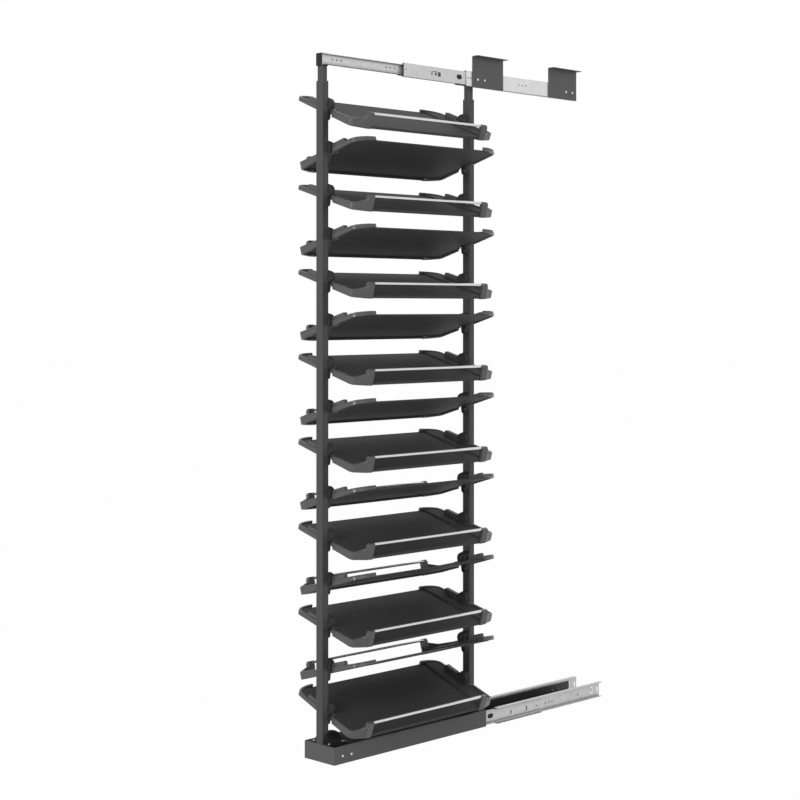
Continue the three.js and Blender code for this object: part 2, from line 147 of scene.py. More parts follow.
def filleted(points: Outline, radius: float, steps: int = 4, closed: bool = True) -> Outline:
    """Rounds the corners of an outline or of an open path.

    Args:
        points: The outline's corners.
        radius: The corner radius, which shrinks where the edges are too short for it.
        steps: How many straight pieces each round corner has.
        closed: Whether the last point joins the first.

    Returns:
        The outline with round corners.
    """
    longest_share, nearly_straight = 0.48, math.radians(88)
    rounded: Outline = []
    count = len(points)
    for index, corner in enumerate(points):
        if not closed and index in (0, count - 1):
            rounded.append(corner)
            continue
        here = Vector(corner)
        back = Vector(points[index - 1]) - here
        ahead = Vector(points[(index + 1) % count]) - here
        half = back.angle(ahead) / 2
        if half > nearly_straight:
            rounded.append(corner)
            continue
        reach = min(radius / math.tan(half), back.length * longest_share, ahead.length * longest_share)
        bisector = (back.normalized() + ahead.normalized()).normalized()
        centre = here + bisector * (reach / math.cos(half))
        first = here + back.normalized() * reach - centre
        last = here + ahead.normalized() * reach - centre
        start = math.atan2(first.y, first.x)
        sweep = (math.atan2(last.y, last.x) - start + math.pi) % (2 * math.pi) - math.pi
        ends = math.degrees(start), math.degrees(start + sweep)
        rounded += arc(centre, (first.length, first.length), *ends, steps)
    return rounded


def thickened(path: Outline, thickness: float) -> Outline:
    """Makes the outline of bent sheet from an open path, on the right hand side of its run.

    Args:
        path: The sheet's path.
        thickness: The sheet's thickness.

    Returns:
        The closed outline.
    """
    sharpest = 0.3
    points = [Vector(point) for point in path]
    offset: Outline = []
    for index, point in enumerate(points):
        runs = [
            (points[other + 1] - points[other]).normalized()
            for other in (index - 1, index)
            if 0 <= other < len(points) - 1
        ]
        mean = sum(runs, Vector((0.0, 0.0))).normalized()
        side = Vector((mean.y, -mean.x))
        square = Vector((runs[0].y, -runs[0].x))
        offset.append(tuple(point + side * (thickness / max(side.dot(square), sharpest))))
    return path + offset[::-1]


def fluted(radius: float, depth: float, flutes: int, start: float, end: float) -> Outline:
    """Gives a round rim with shallow flutes, centred on the origin.

    Args:
        radius: The rim's outer radius.
        depth: How deep each flute is.
        flutes: How many flutes a full turn has.
        start: The first angle, in degrees.
        end: The last angle, in degrees.

    Returns:
        The points of the rim.
    """
    steps = round(flutes * 4 * abs(end - start) / 360)
    points: Outline = []
    for step in range(steps + 1):
        angle = math.radians(start + (end - start) * step / steps)
        reach = radius - depth * (0.5 - 0.5 * math.cos(flutes * angle))
        points.append((reach * math.cos(angle), reach * math.sin(angle)))
    return points


def smooth_share(value: float) -> float:
    """Turns a share from 0 to 1 into one that starts and ends gently."""
    value = min(max(value, 0.0), 1.0)
    return value * value * (3 - 2 * value)


# Meshes


class Run(Enum):
    """The axis along which an outline runs, as the directions of its three axes."""

    X = ((0, 1, 0), (0, 0, 1), (1, 0, 0))
    Y = ((0, 0, 1), (1, 0, 0), (0, 1, 0))
    Z = ((1, 0, 0), (0, 1, 0), (0, 0, 1))

    def place(self, a: float, b: float, along: float) -> Vector:
        """Gives a point of the outline in space."""
        first, second, third = (Vector(axis) for axis in self.value)
        return first * a + second * b + third * along


class Join(Enum):
    """What a Boolean does with its tool."""

    ADD = "UNION"
    CUT = "DIFFERENCE"
    KEEP = "INTERSECT"


def new_piece(name: str, shape: bmesh.types.BMesh) -> Piece:
    """Makes an object of a shape, with its faces turned outwards.

    Args:
        name: The object's name.
        shape: The shape, which is used up.

    Returns:
        The new object.
    """
    bmesh.ops.recalc_face_normals(shape, faces=shape.faces[:])
    mesh = bpy.data.meshes.new(name)
    shape.to_mesh(mesh)
    shape.free()
    piece = bpy.data.objects.new(name, mesh)
    bpy.context.scene.collection.objects.link(piece)
    return piece


def skin(name: str, rings: list[list[Vector]]) -> Piece:
    """Makes a solid through rings of points, and closes both ends.

    Args:
        name: The piece's name.
        rings: The rings, one after the other, each with the same number of points.

    Returns:
        The new piece.
    """
    shape = bmesh.new()
    placed = [[shape.verts.new(point * METRES) for point in ring] for ring in rings]
    for ring, following in zip(placed, placed[1:]):
        for index in range(len(ring)):
            after = (index + 1) % len(ring)
            shape.faces.new((ring[index], ring[after], following[after], following[index]))
    for end in (0, -1):
        for corners in tessellate_polygon([rings[end]]):
            shape.faces.new([placed[end][corner] for corner in corners])
    return new_piece(name, shape)


def prism(name: str, outline: Outline, start: float, end: float, run: Run) -> Piece:
    """Makes a solid of an outline that runs along an axis."""
    return skin(name, [[run.place(a, b, along) for a, b in outline] for along in (start, end)])


def block(name: str, x: Point, y: Point, z: Point) -> Piece:
    """Makes a plain block between two values on each axis."""
    return prism(name, rectangle(x, y), *z, Run.Z)


def bar(name: str, centre: Point, radius: float, ends: Point, run: Run, sides: int = 24) -> Piece:
    """Makes a round bar along an axis.

    Args:
        name: The piece's name.
        centre: The bar's centre across the axis.
        radius: Its radius.
        ends: Where it starts and ends along the axis.
        run: The axis.
        sides: How many sides it has.

    Returns:
        The new piece.
    """
    return prism(name, disc(centre, radius, sides), *ends, run)


def lathe(name: str, profile: Outline, segments: int = 24) -> Piece:
    """Makes a solid of revolution about the Z axis.

    Args:
        name: The piece's name.
        profile: Radius and height of each point; the first and last radius are zero.
        segments: How many sides a turn has.

    Returns:
        The new piece.
    """
    shape = bmesh.new()
    rings = [
        [shape.verts.new(Vector((*point, height)) * METRES) for point in disc((0, 0), radius, segments)]
        for radius, height in profile[1:-1]
    ]
    sides = [(side, (side + 1) % segments) for side in range(segments)]
    for ring, following in zip(rings, rings[1:]):
        for side, after in sides:
            shape.faces.new((ring[side], ring[after], following[after], following[side]))
    for end in (0, -1):
        pole = shape.verts.new(Vector((0, 0, profile[end][1])) * METRES)
        for side, after in sides:
            shape.faces.new((pole, rings[end][after], rings[end][side]))
    return new_piece(name, shape)


def settle(piece: Piece) -> Piece:
    """Applies a piece's modifiers to its mesh.

    Args:
        piece: The piece.

    Returns:
        The same piece.
    """
    bpy.context.view_layer.update()
    seen = piece.evaluated_get(bpy.context.evaluated_depsgraph_get())
    mesh = bpy.data.meshes.new_from_object(seen)
    mesh.name = piece.name
    piece.modifiers.clear()
    piece.data = mesh
    return piece


def merged(name: str, pieces: list[Piece]) -> Piece:
    """Puts separate meshes into one piece, each at the place of its object.

    Args:
        name: The new piece's name.
        pieces: The pieces, which are used up.

    Returns:
        The new piece.
    """
    shape = bmesh.new()
    for piece in pieces:
        bpy.context.view_layer.update()
        mesh = piece.data.copy()
        mesh.transform(piece.matrix_world)
        shape.from_mesh(mesh)
        bpy.data.meshes.remove(mesh)
        bpy.data.objects.remove(piece)
    return new_piece(name, shape)


def combine(piece: Piece, tools: list[Piece], how: Join) -> Piece:
    """Cuts tools out of a piece, joins them to it or keeps what they share.

    Args:
        piece: The piece that changes.
        tools: The tools, which are used up.
        how: What is done with them.

    Returns:
        The same piece.
    """
    tool = merged("tool", tools) if len(tools) > 1 else tools[0]
    change = piece.modifiers.new("Boolean", "BOOLEAN")
    change.operation = how.value
    change.solver = "EXACT"
    change.object = tool
    settle(piece)
    bpy.data.objects.remove(tool)
    return piece


def cut(piece: Piece, tools: list[Piece]) -> Piece:
    """Cuts tools that don't touch each other out of a piece."""
    return combine(piece, tools, Join.CUT)


def shade(piece: Piece, angle: float = 32) -> Piece:
    """Shades a piece smooth, with flat faces kept flat and sharp edges over an angle.

    Args:
        piece: The piece.
        angle: The angle in degrees over which an edge stays sharp.

    Returns:
        The same piece.
    """
    piece.data.shade_smooth()
    piece.data.set_sharp_from_angle(angle=math.radians(angle))
    flat = piece.modifiers.new("Flat faces", "WEIGHTED_NORMAL")
    flat.keep_sharp = True
    flat.weight = 100
    return settle(piece)


def soften(piece: Piece, width: float, steps: int = 2) -> Piece:
    """Rounds a piece's sharp edges by a width in millimetres.

    Args:
        piece: The piece.
        width: The rounding's width.
        steps: How many straight pieces the rounding has.

    Returns:
        The same piece.
    """
    bevel = piece.modifiers.new("Bevel", "BEVEL")
    bevel.width = width * METRES
    bevel.segments = steps
    bevel.limit_method = "ANGLE"
    bevel.angle_limit = math.radians(38)
    bevel.use_clamp_overlap = True
    return shade(settle(piece))


def shifted(x: float, y: float, z: float) -> Matrix:
    """Gives a move, in millimetres."""
    return Matrix.Translation(Vector((x, y, z)) * METRES)


def turned(degrees: float, axis: str) -> Matrix:
    """Gives a turn about an axis."""
    return Matrix.Rotation(math.radians(degrees), 4, axis)


FACE_NEAR = turned(90, "X")
FACE_FAR = turned(-90, "X")


class Pattern:
    """A shape that is built once and set at many places."""

    def __init__(self, build: Callable[[], Piece]) -> None:
        """Takes what builds the shape."""
        self.build = build
        self.first: Piece | None = None

    def set(self, name: str, place: Matrix) -> Piece:
        """Sets the shape at a place, under a name of its own.

        Args:
            name: The new piece's name.
            place: Its place.

        Returns:
            The new piece.
        """
        if self.first is None:
            piece = self.first = self.build()
            piece.name = name
        else:
            piece = bpy.data.objects.new(name, self.first.data)
            bpy.context.scene.collection.objects.link(piece)
        piece.matrix_world = place
        return piece


@dataclass(frozen=True)
class Span:
    """A node's box at rest, in millimetres."""

    x0: float
    y0: float
    z0: float
    x1: float
    y1: float
    z1: float

    @staticmethod
    def of(node: str) -> Span:
        """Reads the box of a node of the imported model."""
        low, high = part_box(node)
        return Span(*(value / METRES for value in (*low, *high)))

    @property
    def middle(self) -> Place:
        """The box's centre."""
        return (self.x0 + self.x1) / 2, (self.y0 + self.y1) / 2, (self.z0 + self.z1) / 2

    @property
    def depth(self) -> float:
        """The box's size along Y."""
        return self.y1 - self.y0

    @property
    def half_height(self) -> float:
        """Half of the box's size along Z."""
        return (self.z1 - self.z0) / 2

    def plan(self, inset: float = 0) -> Outline:
        """The box's outline from above, drawn in all round."""
        return rectangle((self.x0 + inset, self.x1 - inset), (self.y0 + inset, self.y1 - inset))


# Shader effects


class Graph:
    """Adds nodes to a node tree and joins them."""

    def __init__(self, tree: bpy.types.NodeTree) -> None:
        """Takes the tree that the nodes go into."""
        self.tree = tree
        self.nodes = tree.nodes

    def feed(self, socket: Socket, value: Value) -> None:
        """Joins a socket to the one that feeds it, or sets its plain value.

        Args:
            socket: The socket.
            value: The socket that feeds it, or its plain value.
        """
        if isinstance(value, Socket):
            self.tree.links.new(value, socket)
        else:
            socket.default_value = value

    def add(self, kind: str, inputs: dict[str | int, Value], **settings: str | int) -> bpy.types.Node:
        """Adds a shader node.

        Args:
            kind: The node's type.
            inputs: What feeds each input, or its plain value.
            settings: The node's own settings.

        Returns:
            The new node.
        """
        node = self.nodes.new(f"ShaderNode{kind}")
        for name, value in settings.items():
            setattr(node, name, value)
        for name, value in inputs.items():
            self.feed(node.inputs[name], value)
        return node

    def math(self, operation: str, *values: Value) -> Socket:
        """Joins numbers by an operation, and gives the result's socket."""
        return self.add("Math", dict(enumerate(values)), operation=operation).outputs[0]

    def range(self, value: Socket, low: Value, high: Value, source: Point = (0, 1)) -> Socket:
        """Spreads a value over a range.

        Args:
            value: The value's socket.
            low: What the first end of the source becomes.
            high: What its other end becomes.
            source: The two ends of the source.

        Returns:
            The spread value's socket.
        """
        ends = {"From Min": source[0], "From Max": source[1], "To Min": low, "To Max": high}
        return self.add("MapRange", {"Value": value, **ends}).outputs["Result"]

    def seen_white(self) -> Socket:
        """Gives 1 on rays from the camera, off gloss and through glass, which see the white surround.

        Returns:
            The socket of the 1.
        """
        rays = self.add("LightPath", {}).outputs
        direct = self.math("MAXIMUM", rays["Is Camera Ray"], rays["Is Glossy Ray"])
        return self.math("MAXIMUM", direct, rays["Is Transmission Ray"])


class EffectGraph(Graph):
    """A node group that materials share, with named number sockets."""

    def __init__(self, name: str, inputs: dict[str, float], outputs: tuple[str, ...]) -> None:
        """Starts the group.

        Args:
            name: The group's name.
            inputs: The inputs' names and usual values.
            outputs: The outputs' names.
        """
        super().__init__(bpy.data.node_groups.new(name, "ShaderNodeTree"))
        face = self.tree.interface
        for socket, value in inputs.items():
            made = face.new_socket(socket, in_out="INPUT", socket_type="NodeSocketFloat")
            made.default_value = value
        for socket in outputs:
            face.new_socket(socket, in_out="OUTPUT", socket_type="NodeSocketFloat")
        self.given = self.nodes.new("NodeGroupInput").outputs
        self.ends = self.nodes.new("NodeGroupOutput").inputs

    def surface(self) -> Socket:
        """The place on the surface, in the piece's own frame."""
        return self.add("TexCoord", {}).outputs["Object"]

    def noise(self, place: Socket, scale: Value, **values: float) -> Socket:
        """A noise texture's value at a place."""
        return self.add("TexNoise", {"Vector": place, "Scale": scale, **values}).outputs["Fac"]

    def finished(self, **results: Socket) -> bpy.types.NodeTree:
        """Joins the group's outputs to their results, and gives its tree.

        Args:
            results: What feeds each output, by the output's name.

        Returns:
            The group's tree.
        """
        for name, socket in results.items():
            self.feed(self.ends[name], socket)
        return self.tree


class Effects:
    """The shader node groups that more than one material uses, each built once."""

    @cached_property
    def mottle(self) -> bpy.types.NodeTree:
        """Slow changes of tone over a surface, about one half.

        Returns:
            The group's tree.
        """
        graph = EffectGraph("Mottle", {"Scale": 12, "Contrast": 0.5}, ("Tone",))
        noise = graph.noise(graph.surface(), graph.given["Scale"], Detail=5, Roughness=0.6)
        centred = graph.math("SUBTRACT", noise, 0.5)
        return graph.finished(Tone=graph.math("MULTIPLY_ADD", centred, graph.given["Contrast"], 0.5))

    @cached_property
    def grain(self) -> bpy.types.NodeTree:
        """A fine even grain, as height and as a speckle.

        Returns:
            The group's tree.
        """
        graph = EffectGraph("Grain", {"Scale": 900}, ("Height", "Speckle"))
        place, scale = graph.surface(), graph.given["Scale"]
        cells = graph.add("TexVoronoi", {"Vector": place, "Scale": scale}, feature="SMOOTH_F1")
        noise = graph.noise(place, scale, Detail=3)
        return graph.finished(Height=graph.math("ADD", cells.outputs["Distance"], noise), Speckle=noise)

    @cached_property
    def worn_and_highlit_edges(self) -> bpy.types.NodeTree:
        """A mask of the edges, where a rounded normal leaves the true one, broken up by a noise; it paints
        wear and a highlight on the edges.

        Returns:
            The group's tree.
        """
        graph = EffectGraph("Worn and highlit edges", {"Radius": 0.0012}, ("Mask",))
        form = graph.add("NewGeometry", {}).outputs["Normal"]
        rounded = graph.add("Bevel", {"Radius": graph.given["Radius"]}, samples=4).outputs["Normal"]
        share = graph.add("VectorMath", {0: form, 1: rounded}, operation="DOT_PRODUCT").outputs["Value"]
        band = graph.range(share, 0, 1, (0.99, 0.85))
        return graph.finished(Mask=graph.math("MULTIPLY", band, graph.noise(graph.surface(), 140)))

    @cached_property
    def drawn_lines(self) -> bpy.types.NodeTree:
        """Fine lines along X, as rolled or drawn metal has.

        Returns:
            The group's tree.
        """
        graph = EffectGraph("Drawn lines", {"Scale": 60, "Stretch": 0.03}, ("Height", "Tone"))
        pull = graph.add("CombineXYZ", {"X": graph.given["Stretch"], "Y": 1, "Z": 1}).outputs[0]
        place = graph.add("VectorMath", {0: graph.surface(), 1: pull}, operation="MULTIPLY").outputs[0]
        noise = graph.noise(place, graph.given["Scale"], Detail=6, Roughness=0.7)
        return graph.finished(Height=noise, Tone=noise)

    @cached_property
    def underside_shade_mask(self) -> bpy.types.NodeTree:
        """A mask of the surfaces that look down, where shade is painted.

        Returns:
            The group's tree.
        """
        graph = EffectGraph("Underside shade", {"Share": 1}, ("Mask",))
        form = graph.add("NewGeometry", {}).outputs["Normal"]
        upward = graph.add("SeparateXYZ", {0: form}).outputs["Z"]
        return graph.finished(Mask=graph.range(upward, 0, graph.given["Share"], (-0.2, -0.7)))


class Palette(Graph):
    """A material's node tree, with its Principled shader and the shared effects."""

    def __init__(self, name: str, **values: float) -> None:
        """Starts a material.

        Args:
            name: The material's name.
            values: Plain numbers for the shader, named with underscores for spaces.
        """
        self.material = bpy.data.materials.new(name)
        self.material.use_nodes = True
        super().__init__(self.material.node_tree)
        self.shader = self.nodes["Principled BSDF"]
        for socket, value in values.items():
            self.feed(self.shader.inputs[socket.replace("_", " ")], value)

    def group(self, tree: bpy.types.NodeTree, **values: float) -> bpy.types.NodeOutputs:
        """Places a shared effect in the material with its own values, and gives its outputs.

        Args:
            tree: The effect's tree.
            values: The effect's own values.

        Returns:
            The effect's outputs.
        """
        node = self.nodes.new("ShaderNodeGroup")
        node.node_tree = tree
        for name, value in values.items():
            self.feed(node.inputs[name], value)
        return node.outputs

    def mix(self, share: Value, below: Socket | Colour, above: Socket | Colour, how: str = "MIX") -> Socket:
        """Lays a colour over another.

        Args:
            share: How much of the upper colour shows.
            below: The lower colour.
            above: The upper colour.
            how: The Mix node's way of blending.

        Returns:
            The result's socket.
        """
        node = self.add("Mix", {}, data_type="RGBA", blend_type=how)
        for name, value in (("Factor", share), ("A", below), ("B", above)):
            self.feed(node.inputs[name], (*value, 1) if isinstance(value, tuple) else value)
        return node.outputs["Result"]

    def painted_crevice_shade(self, colour: Socket, reach: float, deepest: float) -> Socket:
        """Paints shade into a colour where the surface is shut in.

        Args:
            colour: The colour's socket.
            reach: How near the other surfaces are that count, in millimetres.
            deepest: The share of the colour that is left where it is shut in most.

        Returns:
            The darkened colour's socket.
        """
        # Ambient occlusion darkens the colour as painted shade.
        shut = self.add("AmbientOcclusion", {"Distance": reach * METRES}, samples=8).outputs["AO"]
        return self.mix(1, colour, self.range(shut, deepest, 1), "MULTIPLY")

    def finished(
        self, colour: Socket, roughness: Socket, height: Socket, depth: float, strength: float
    ) -> bpy.types.Material:
        """Joins the shader to what varies over the surface.

        Args:
            colour: The base colour.
            roughness: The roughness.
            height: The relief.
            depth: The relief's depth, in millimetres.
            strength: The relief's strength.

        Returns:
            The material.
        """
        relief = {"Distance": depth * METRES, "Strength": strength, "Height": height}
        normal = self.add("Bump", relief).outputs["Normal"]
        for name, socket in (("Base Color", colour), ("Roughness", roughness), ("Normal", normal)):
            self.feed(self.shader.inputs[name], socket)
        return self.material


# Finishes


def grey(tone: float, blue: float = 0) -> Colour:
    """Gives a grey whose blue is a little stronger."""
    return tone, tone, tone + blue


@dataclass(frozen=True)
class GrainedCoat:
    """A coloured surface with a slow mottle, paler edges of wear and painted highlight, and a fine grain."""

    name: str
    dark: float
    light: float
    # The edges' tone, which paints wear and a highlight.
    edge: float
    roughness: Point
    grain: float
    depth: float
    relief: float
    mottle: float
    blotch: float
    edge_reach: float
    slot: str
    shine: float = 0.5

    def build(self, effects: Effects) -> bpy.types.Material:
        """Builds the surface's material.

        Args:
            effects: The shared node groups.

        Returns:
            The material.
        """
        palette = Palette(self.name, Specular_IOR_Level=self.shine)
        mottle = palette.group(effects.mottle, Scale=self.mottle, Contrast=self.blotch)["Tone"]
        grain = palette.group(effects.grain, Scale=self.grain)
        edges = palette.group(effects.worn_and_highlit_edges, Radius=self.edge_reach * METRES)["Mask"]
        colour = palette.mix(mottle, grey(self.dark, 0.001), grey(self.light, 0.001))
        # Paler edges: wear, and a painted highlight.
        colour = palette.mix(edges, colour, grey(self.edge))
        roughness = palette.range(grain["Speckle"], *self.roughness)
        return palette.finished(colour, roughness, grain["Height"], self.depth, self.relief)


@dataclass(frozen=True)
class PowderCoat(GrainedCoat):
    """Satin powder coat on sheet steel, with its fine orange peel."""

    roughness: Point = (0.4, 0.52)
    grain: float = 1100
    depth: float = 0.05
    relief: float = 0.35
    mottle: float = 9
    blotch: float = 0.45
    edge_reach: float = 1.2
    slot: str = "grey_paint"


@dataclass(frozen=True)
class MouldedPlastic(GrainedCoat):
    """Moulded plastic with a sparked grain."""

    roughness: Point = (0.45, 0.6)
    grain: float = 700
    depth: float = 0.06
    relief: float = 0.5
    mottle: float = 16
    blotch: float = 1
    edge_reach: float = 0.9
    slot: str = "black_plastic"


@dataclass(frozen=True)
class RolledSteel:
    """Zinc plated or bare steel sheet, with rolling lines, a faint spangle and painted shade on the faces
    that look down and where it is shut in.
    """

    name: str
    dark: float
    light: float
    blue: float = 0.01
    roughness: Point = (0.28, 0.42)
    metallic: float = 0.5
    stretch: float = 0.03
    # The share of the colour left where the painted crevice shade is deepest.
    deepest: float = 0.3
    # How much painted shade darkens the faces that look down.
    underside_shade: float = 0.75
    slot: str = "zinc_steel"

    def build(self, effects: Effects) -> bpy.types.Material:
        """Builds the steel's material.

        Args:
            effects: The shared node groups.

        Returns:
            The material.
        """
        palette = Palette(self.name, Metallic=self.metallic)
        lines = palette.group(effects.drawn_lines, Scale=420, Stretch=self.stretch)
        mottle = palette.group(effects.mottle, Scale=60, Contrast=1.6)["Tone"]
        underside_shade = palette.group(effects.underside_shade_mask, Share=self.underside_shade)["Mask"]
        colour = palette.mix(mottle, grey(self.dark, self.blue), grey(self.light, self.blue))
        # Painted shade: the faces that look down turn near black, and the shut-in places darken.
        colour = palette.painted_crevice_shade(palette.mix(underside_shade, colour, grey(0.05, 0.002)), 9, self.deepest)
        roughness = palette.range(lines["Tone"], *self.roughness)
        return palette.finished(colour, roughness, lines["Height"], 0.02, 0.2)


@dataclass(frozen=True)
class PlatedRail:
    """Bright plating on a round rail, with faint handling marks."""

    name: str
    dark: float
    light: float
    blue: float = 0.01
    roughness: Point = (0.1, 0.2)
    slot: str = "bright_rail"

    def build(self, effects: Effects) -> bpy.types.Material:
        """Builds the plating's material.

        Args:
            effects: The shared node groups.

        Returns:
            The material.
        """
        palette = Palette(self.name, Metallic=0.9)
        mottle = palette.group(effects.mottle, Scale=30, Contrast=1.4)["Tone"]
        lines = palette.group(effects.drawn_lines, Scale=300, Stretch=0.02)
        colour = palette.mix(mottle, grey(self.dark, self.blue), grey(self.light, self.blue))
        return palette.finished(colour, palette.range(mottle, *self.roughness), lines["Height"], 0.01, 0.1)


class Coat(Enum):
    """The finishes of the rack's pieces."""

    GREY = PowderCoat("Grey powder coat", 0.029, 0.036, 0.07)
    BASE = PowderCoat("Base powder coat", 0.057, 0.066, 0.11, blotch=0.25, slot="base_paint")
    PLATE = PowderCoat("Bracket powder coat", 0.058, 0.07, 0.12)
    CHANNEL = PowderCoat("Channel powder coat", 0.014, 0.02, 0.06)
    PAN = MouldedPlastic(
        "Tray pan", 0.037, 0.046, 0.065, (0.6, 0.68), 1500, 0.02, slot="tray_plastic", shine=0.2
    )
    MOULDING = MouldedPlastic("Tray moulding", 0.054, 0.067, 0.11, (0.23, 0.31), slot="tray_plastic")
    BLACK = MouldedPlastic("Black plastic", 0.011, 0.016, 0.025, shine=0.2)
    FILM = MouldedPlastic(
        "Black top film", 0.006, 0.009, 0.012, (0.7, 0.8), 900, 0.04, slot="base_paint", shine=0.1
    )
    HUB = MouldedPlastic("Hub plastic", 0.027, 0.035, 0.045, shine=0.3)
    ZINC = RolledSteel("Zinc plated steel", 0.68, 0.8)
    INNER_ZINC = RolledSteel("Inner zinc plated steel", 0.54, 0.66, 0.005)
    # A darker copy of the zinc for the floor slides: painted shade, with a stronger mottle of wear.
    FLOOR_ZINC = RolledSteel("Shaded and worn zinc plated steel", 0.5, 0.68, 0.005, metallic=0.45)
    SCREW = RolledSteel("Screw steel", 0.66, 0.8, 0.01, (0.2, 0.35), 0.9, 0.4, 0.8, 0)
    DULL_SCREW = RolledSteel("Dull screw steel", 0.2, 0.3, 0.002, (0.35, 0.5), 0.6, 0.4, 0.8, 0)
    CAGE = RolledSteel("Dark cage steel", 0.05, 0.08, 0.002, (0.35, 0.5), 0.7, slot="cage_steel")
    RAIL = PlatedRail("Bright rail", 0.62, 0.72)


class Wardrobe:
    """Gives each piece its finish, its body and the nodes it stands for."""

    def __init__(self) -> None:
        """Starts with no material made."""
        self.effects = Effects()
        self.made: dict[Coat, bpy.types.Material] = {}

    def dress(self, piece: Piece, coat: Coat, body: str, *nodes: str, slot: str = "") -> None:
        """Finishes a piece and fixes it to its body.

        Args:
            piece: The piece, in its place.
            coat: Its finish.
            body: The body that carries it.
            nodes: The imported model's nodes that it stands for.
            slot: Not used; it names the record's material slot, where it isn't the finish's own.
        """
        if coat not in self.made:
            self.made[coat] = coat.value.build(self.effects)
        if not piece.data.materials:
            piece.data.materials.append(self.made[coat])
        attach(piece, body)
        if nodes:
            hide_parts(*nodes)
        LOG.info("%s rides on %s", piece.name, body)


@dataclass
class Screws:
    """Pan head screws, which share one mesh."""

    wardrobe: Wardrobe
    radius: float = 3.6
    rise: float = 2.2
    coat: Coat = Coat.SCREW
    recess_half: float = 0.45

    def __post_init__(self) -> None:
        """Keeps one head for all the screws."""
        self.heads = Pattern(self.head)

    def head(self) -> Piece:
        """Builds the screw's head with its cross recess, standing on the XY plane.

        Returns:
            The head.
        """
        radius, rise = self.radius, self.rise
        dome = arc((0, rise * 0.35), (radius, rise * 0.65), 0, 90, 6)
        piece = lathe("screw_head", [(0, -0.2), (radius * 0.98, -0.2), *dome], 20)
        long, thin = (-radius * 0.5, radius * 0.5), (-self.recess_half, self.recess_half)
        bars = [block("recess", x, y, (rise * 0.35, rise * 2)) for x, y in ((long, thin), (thin, long))]
        return shade(cut(piece, [combine(bars[0], [bars[1]], Join.ADD)]))

    def place(self, name: str, at: Matrix, body: str) -> None:
        """Sets one screw, whose own Z axis points out of the surface."""
        self.wardrobe.dress(self.heads.set(name, at), self.coat, body)


# Ball slides


@dataclass(frozen=True)
class SlideBodies:
    """The bodies that carry the five pieces of a ball slide."""

    cabinet: str
    middle: str
    rack: str
    outer_cage: str
    inner_cage: str


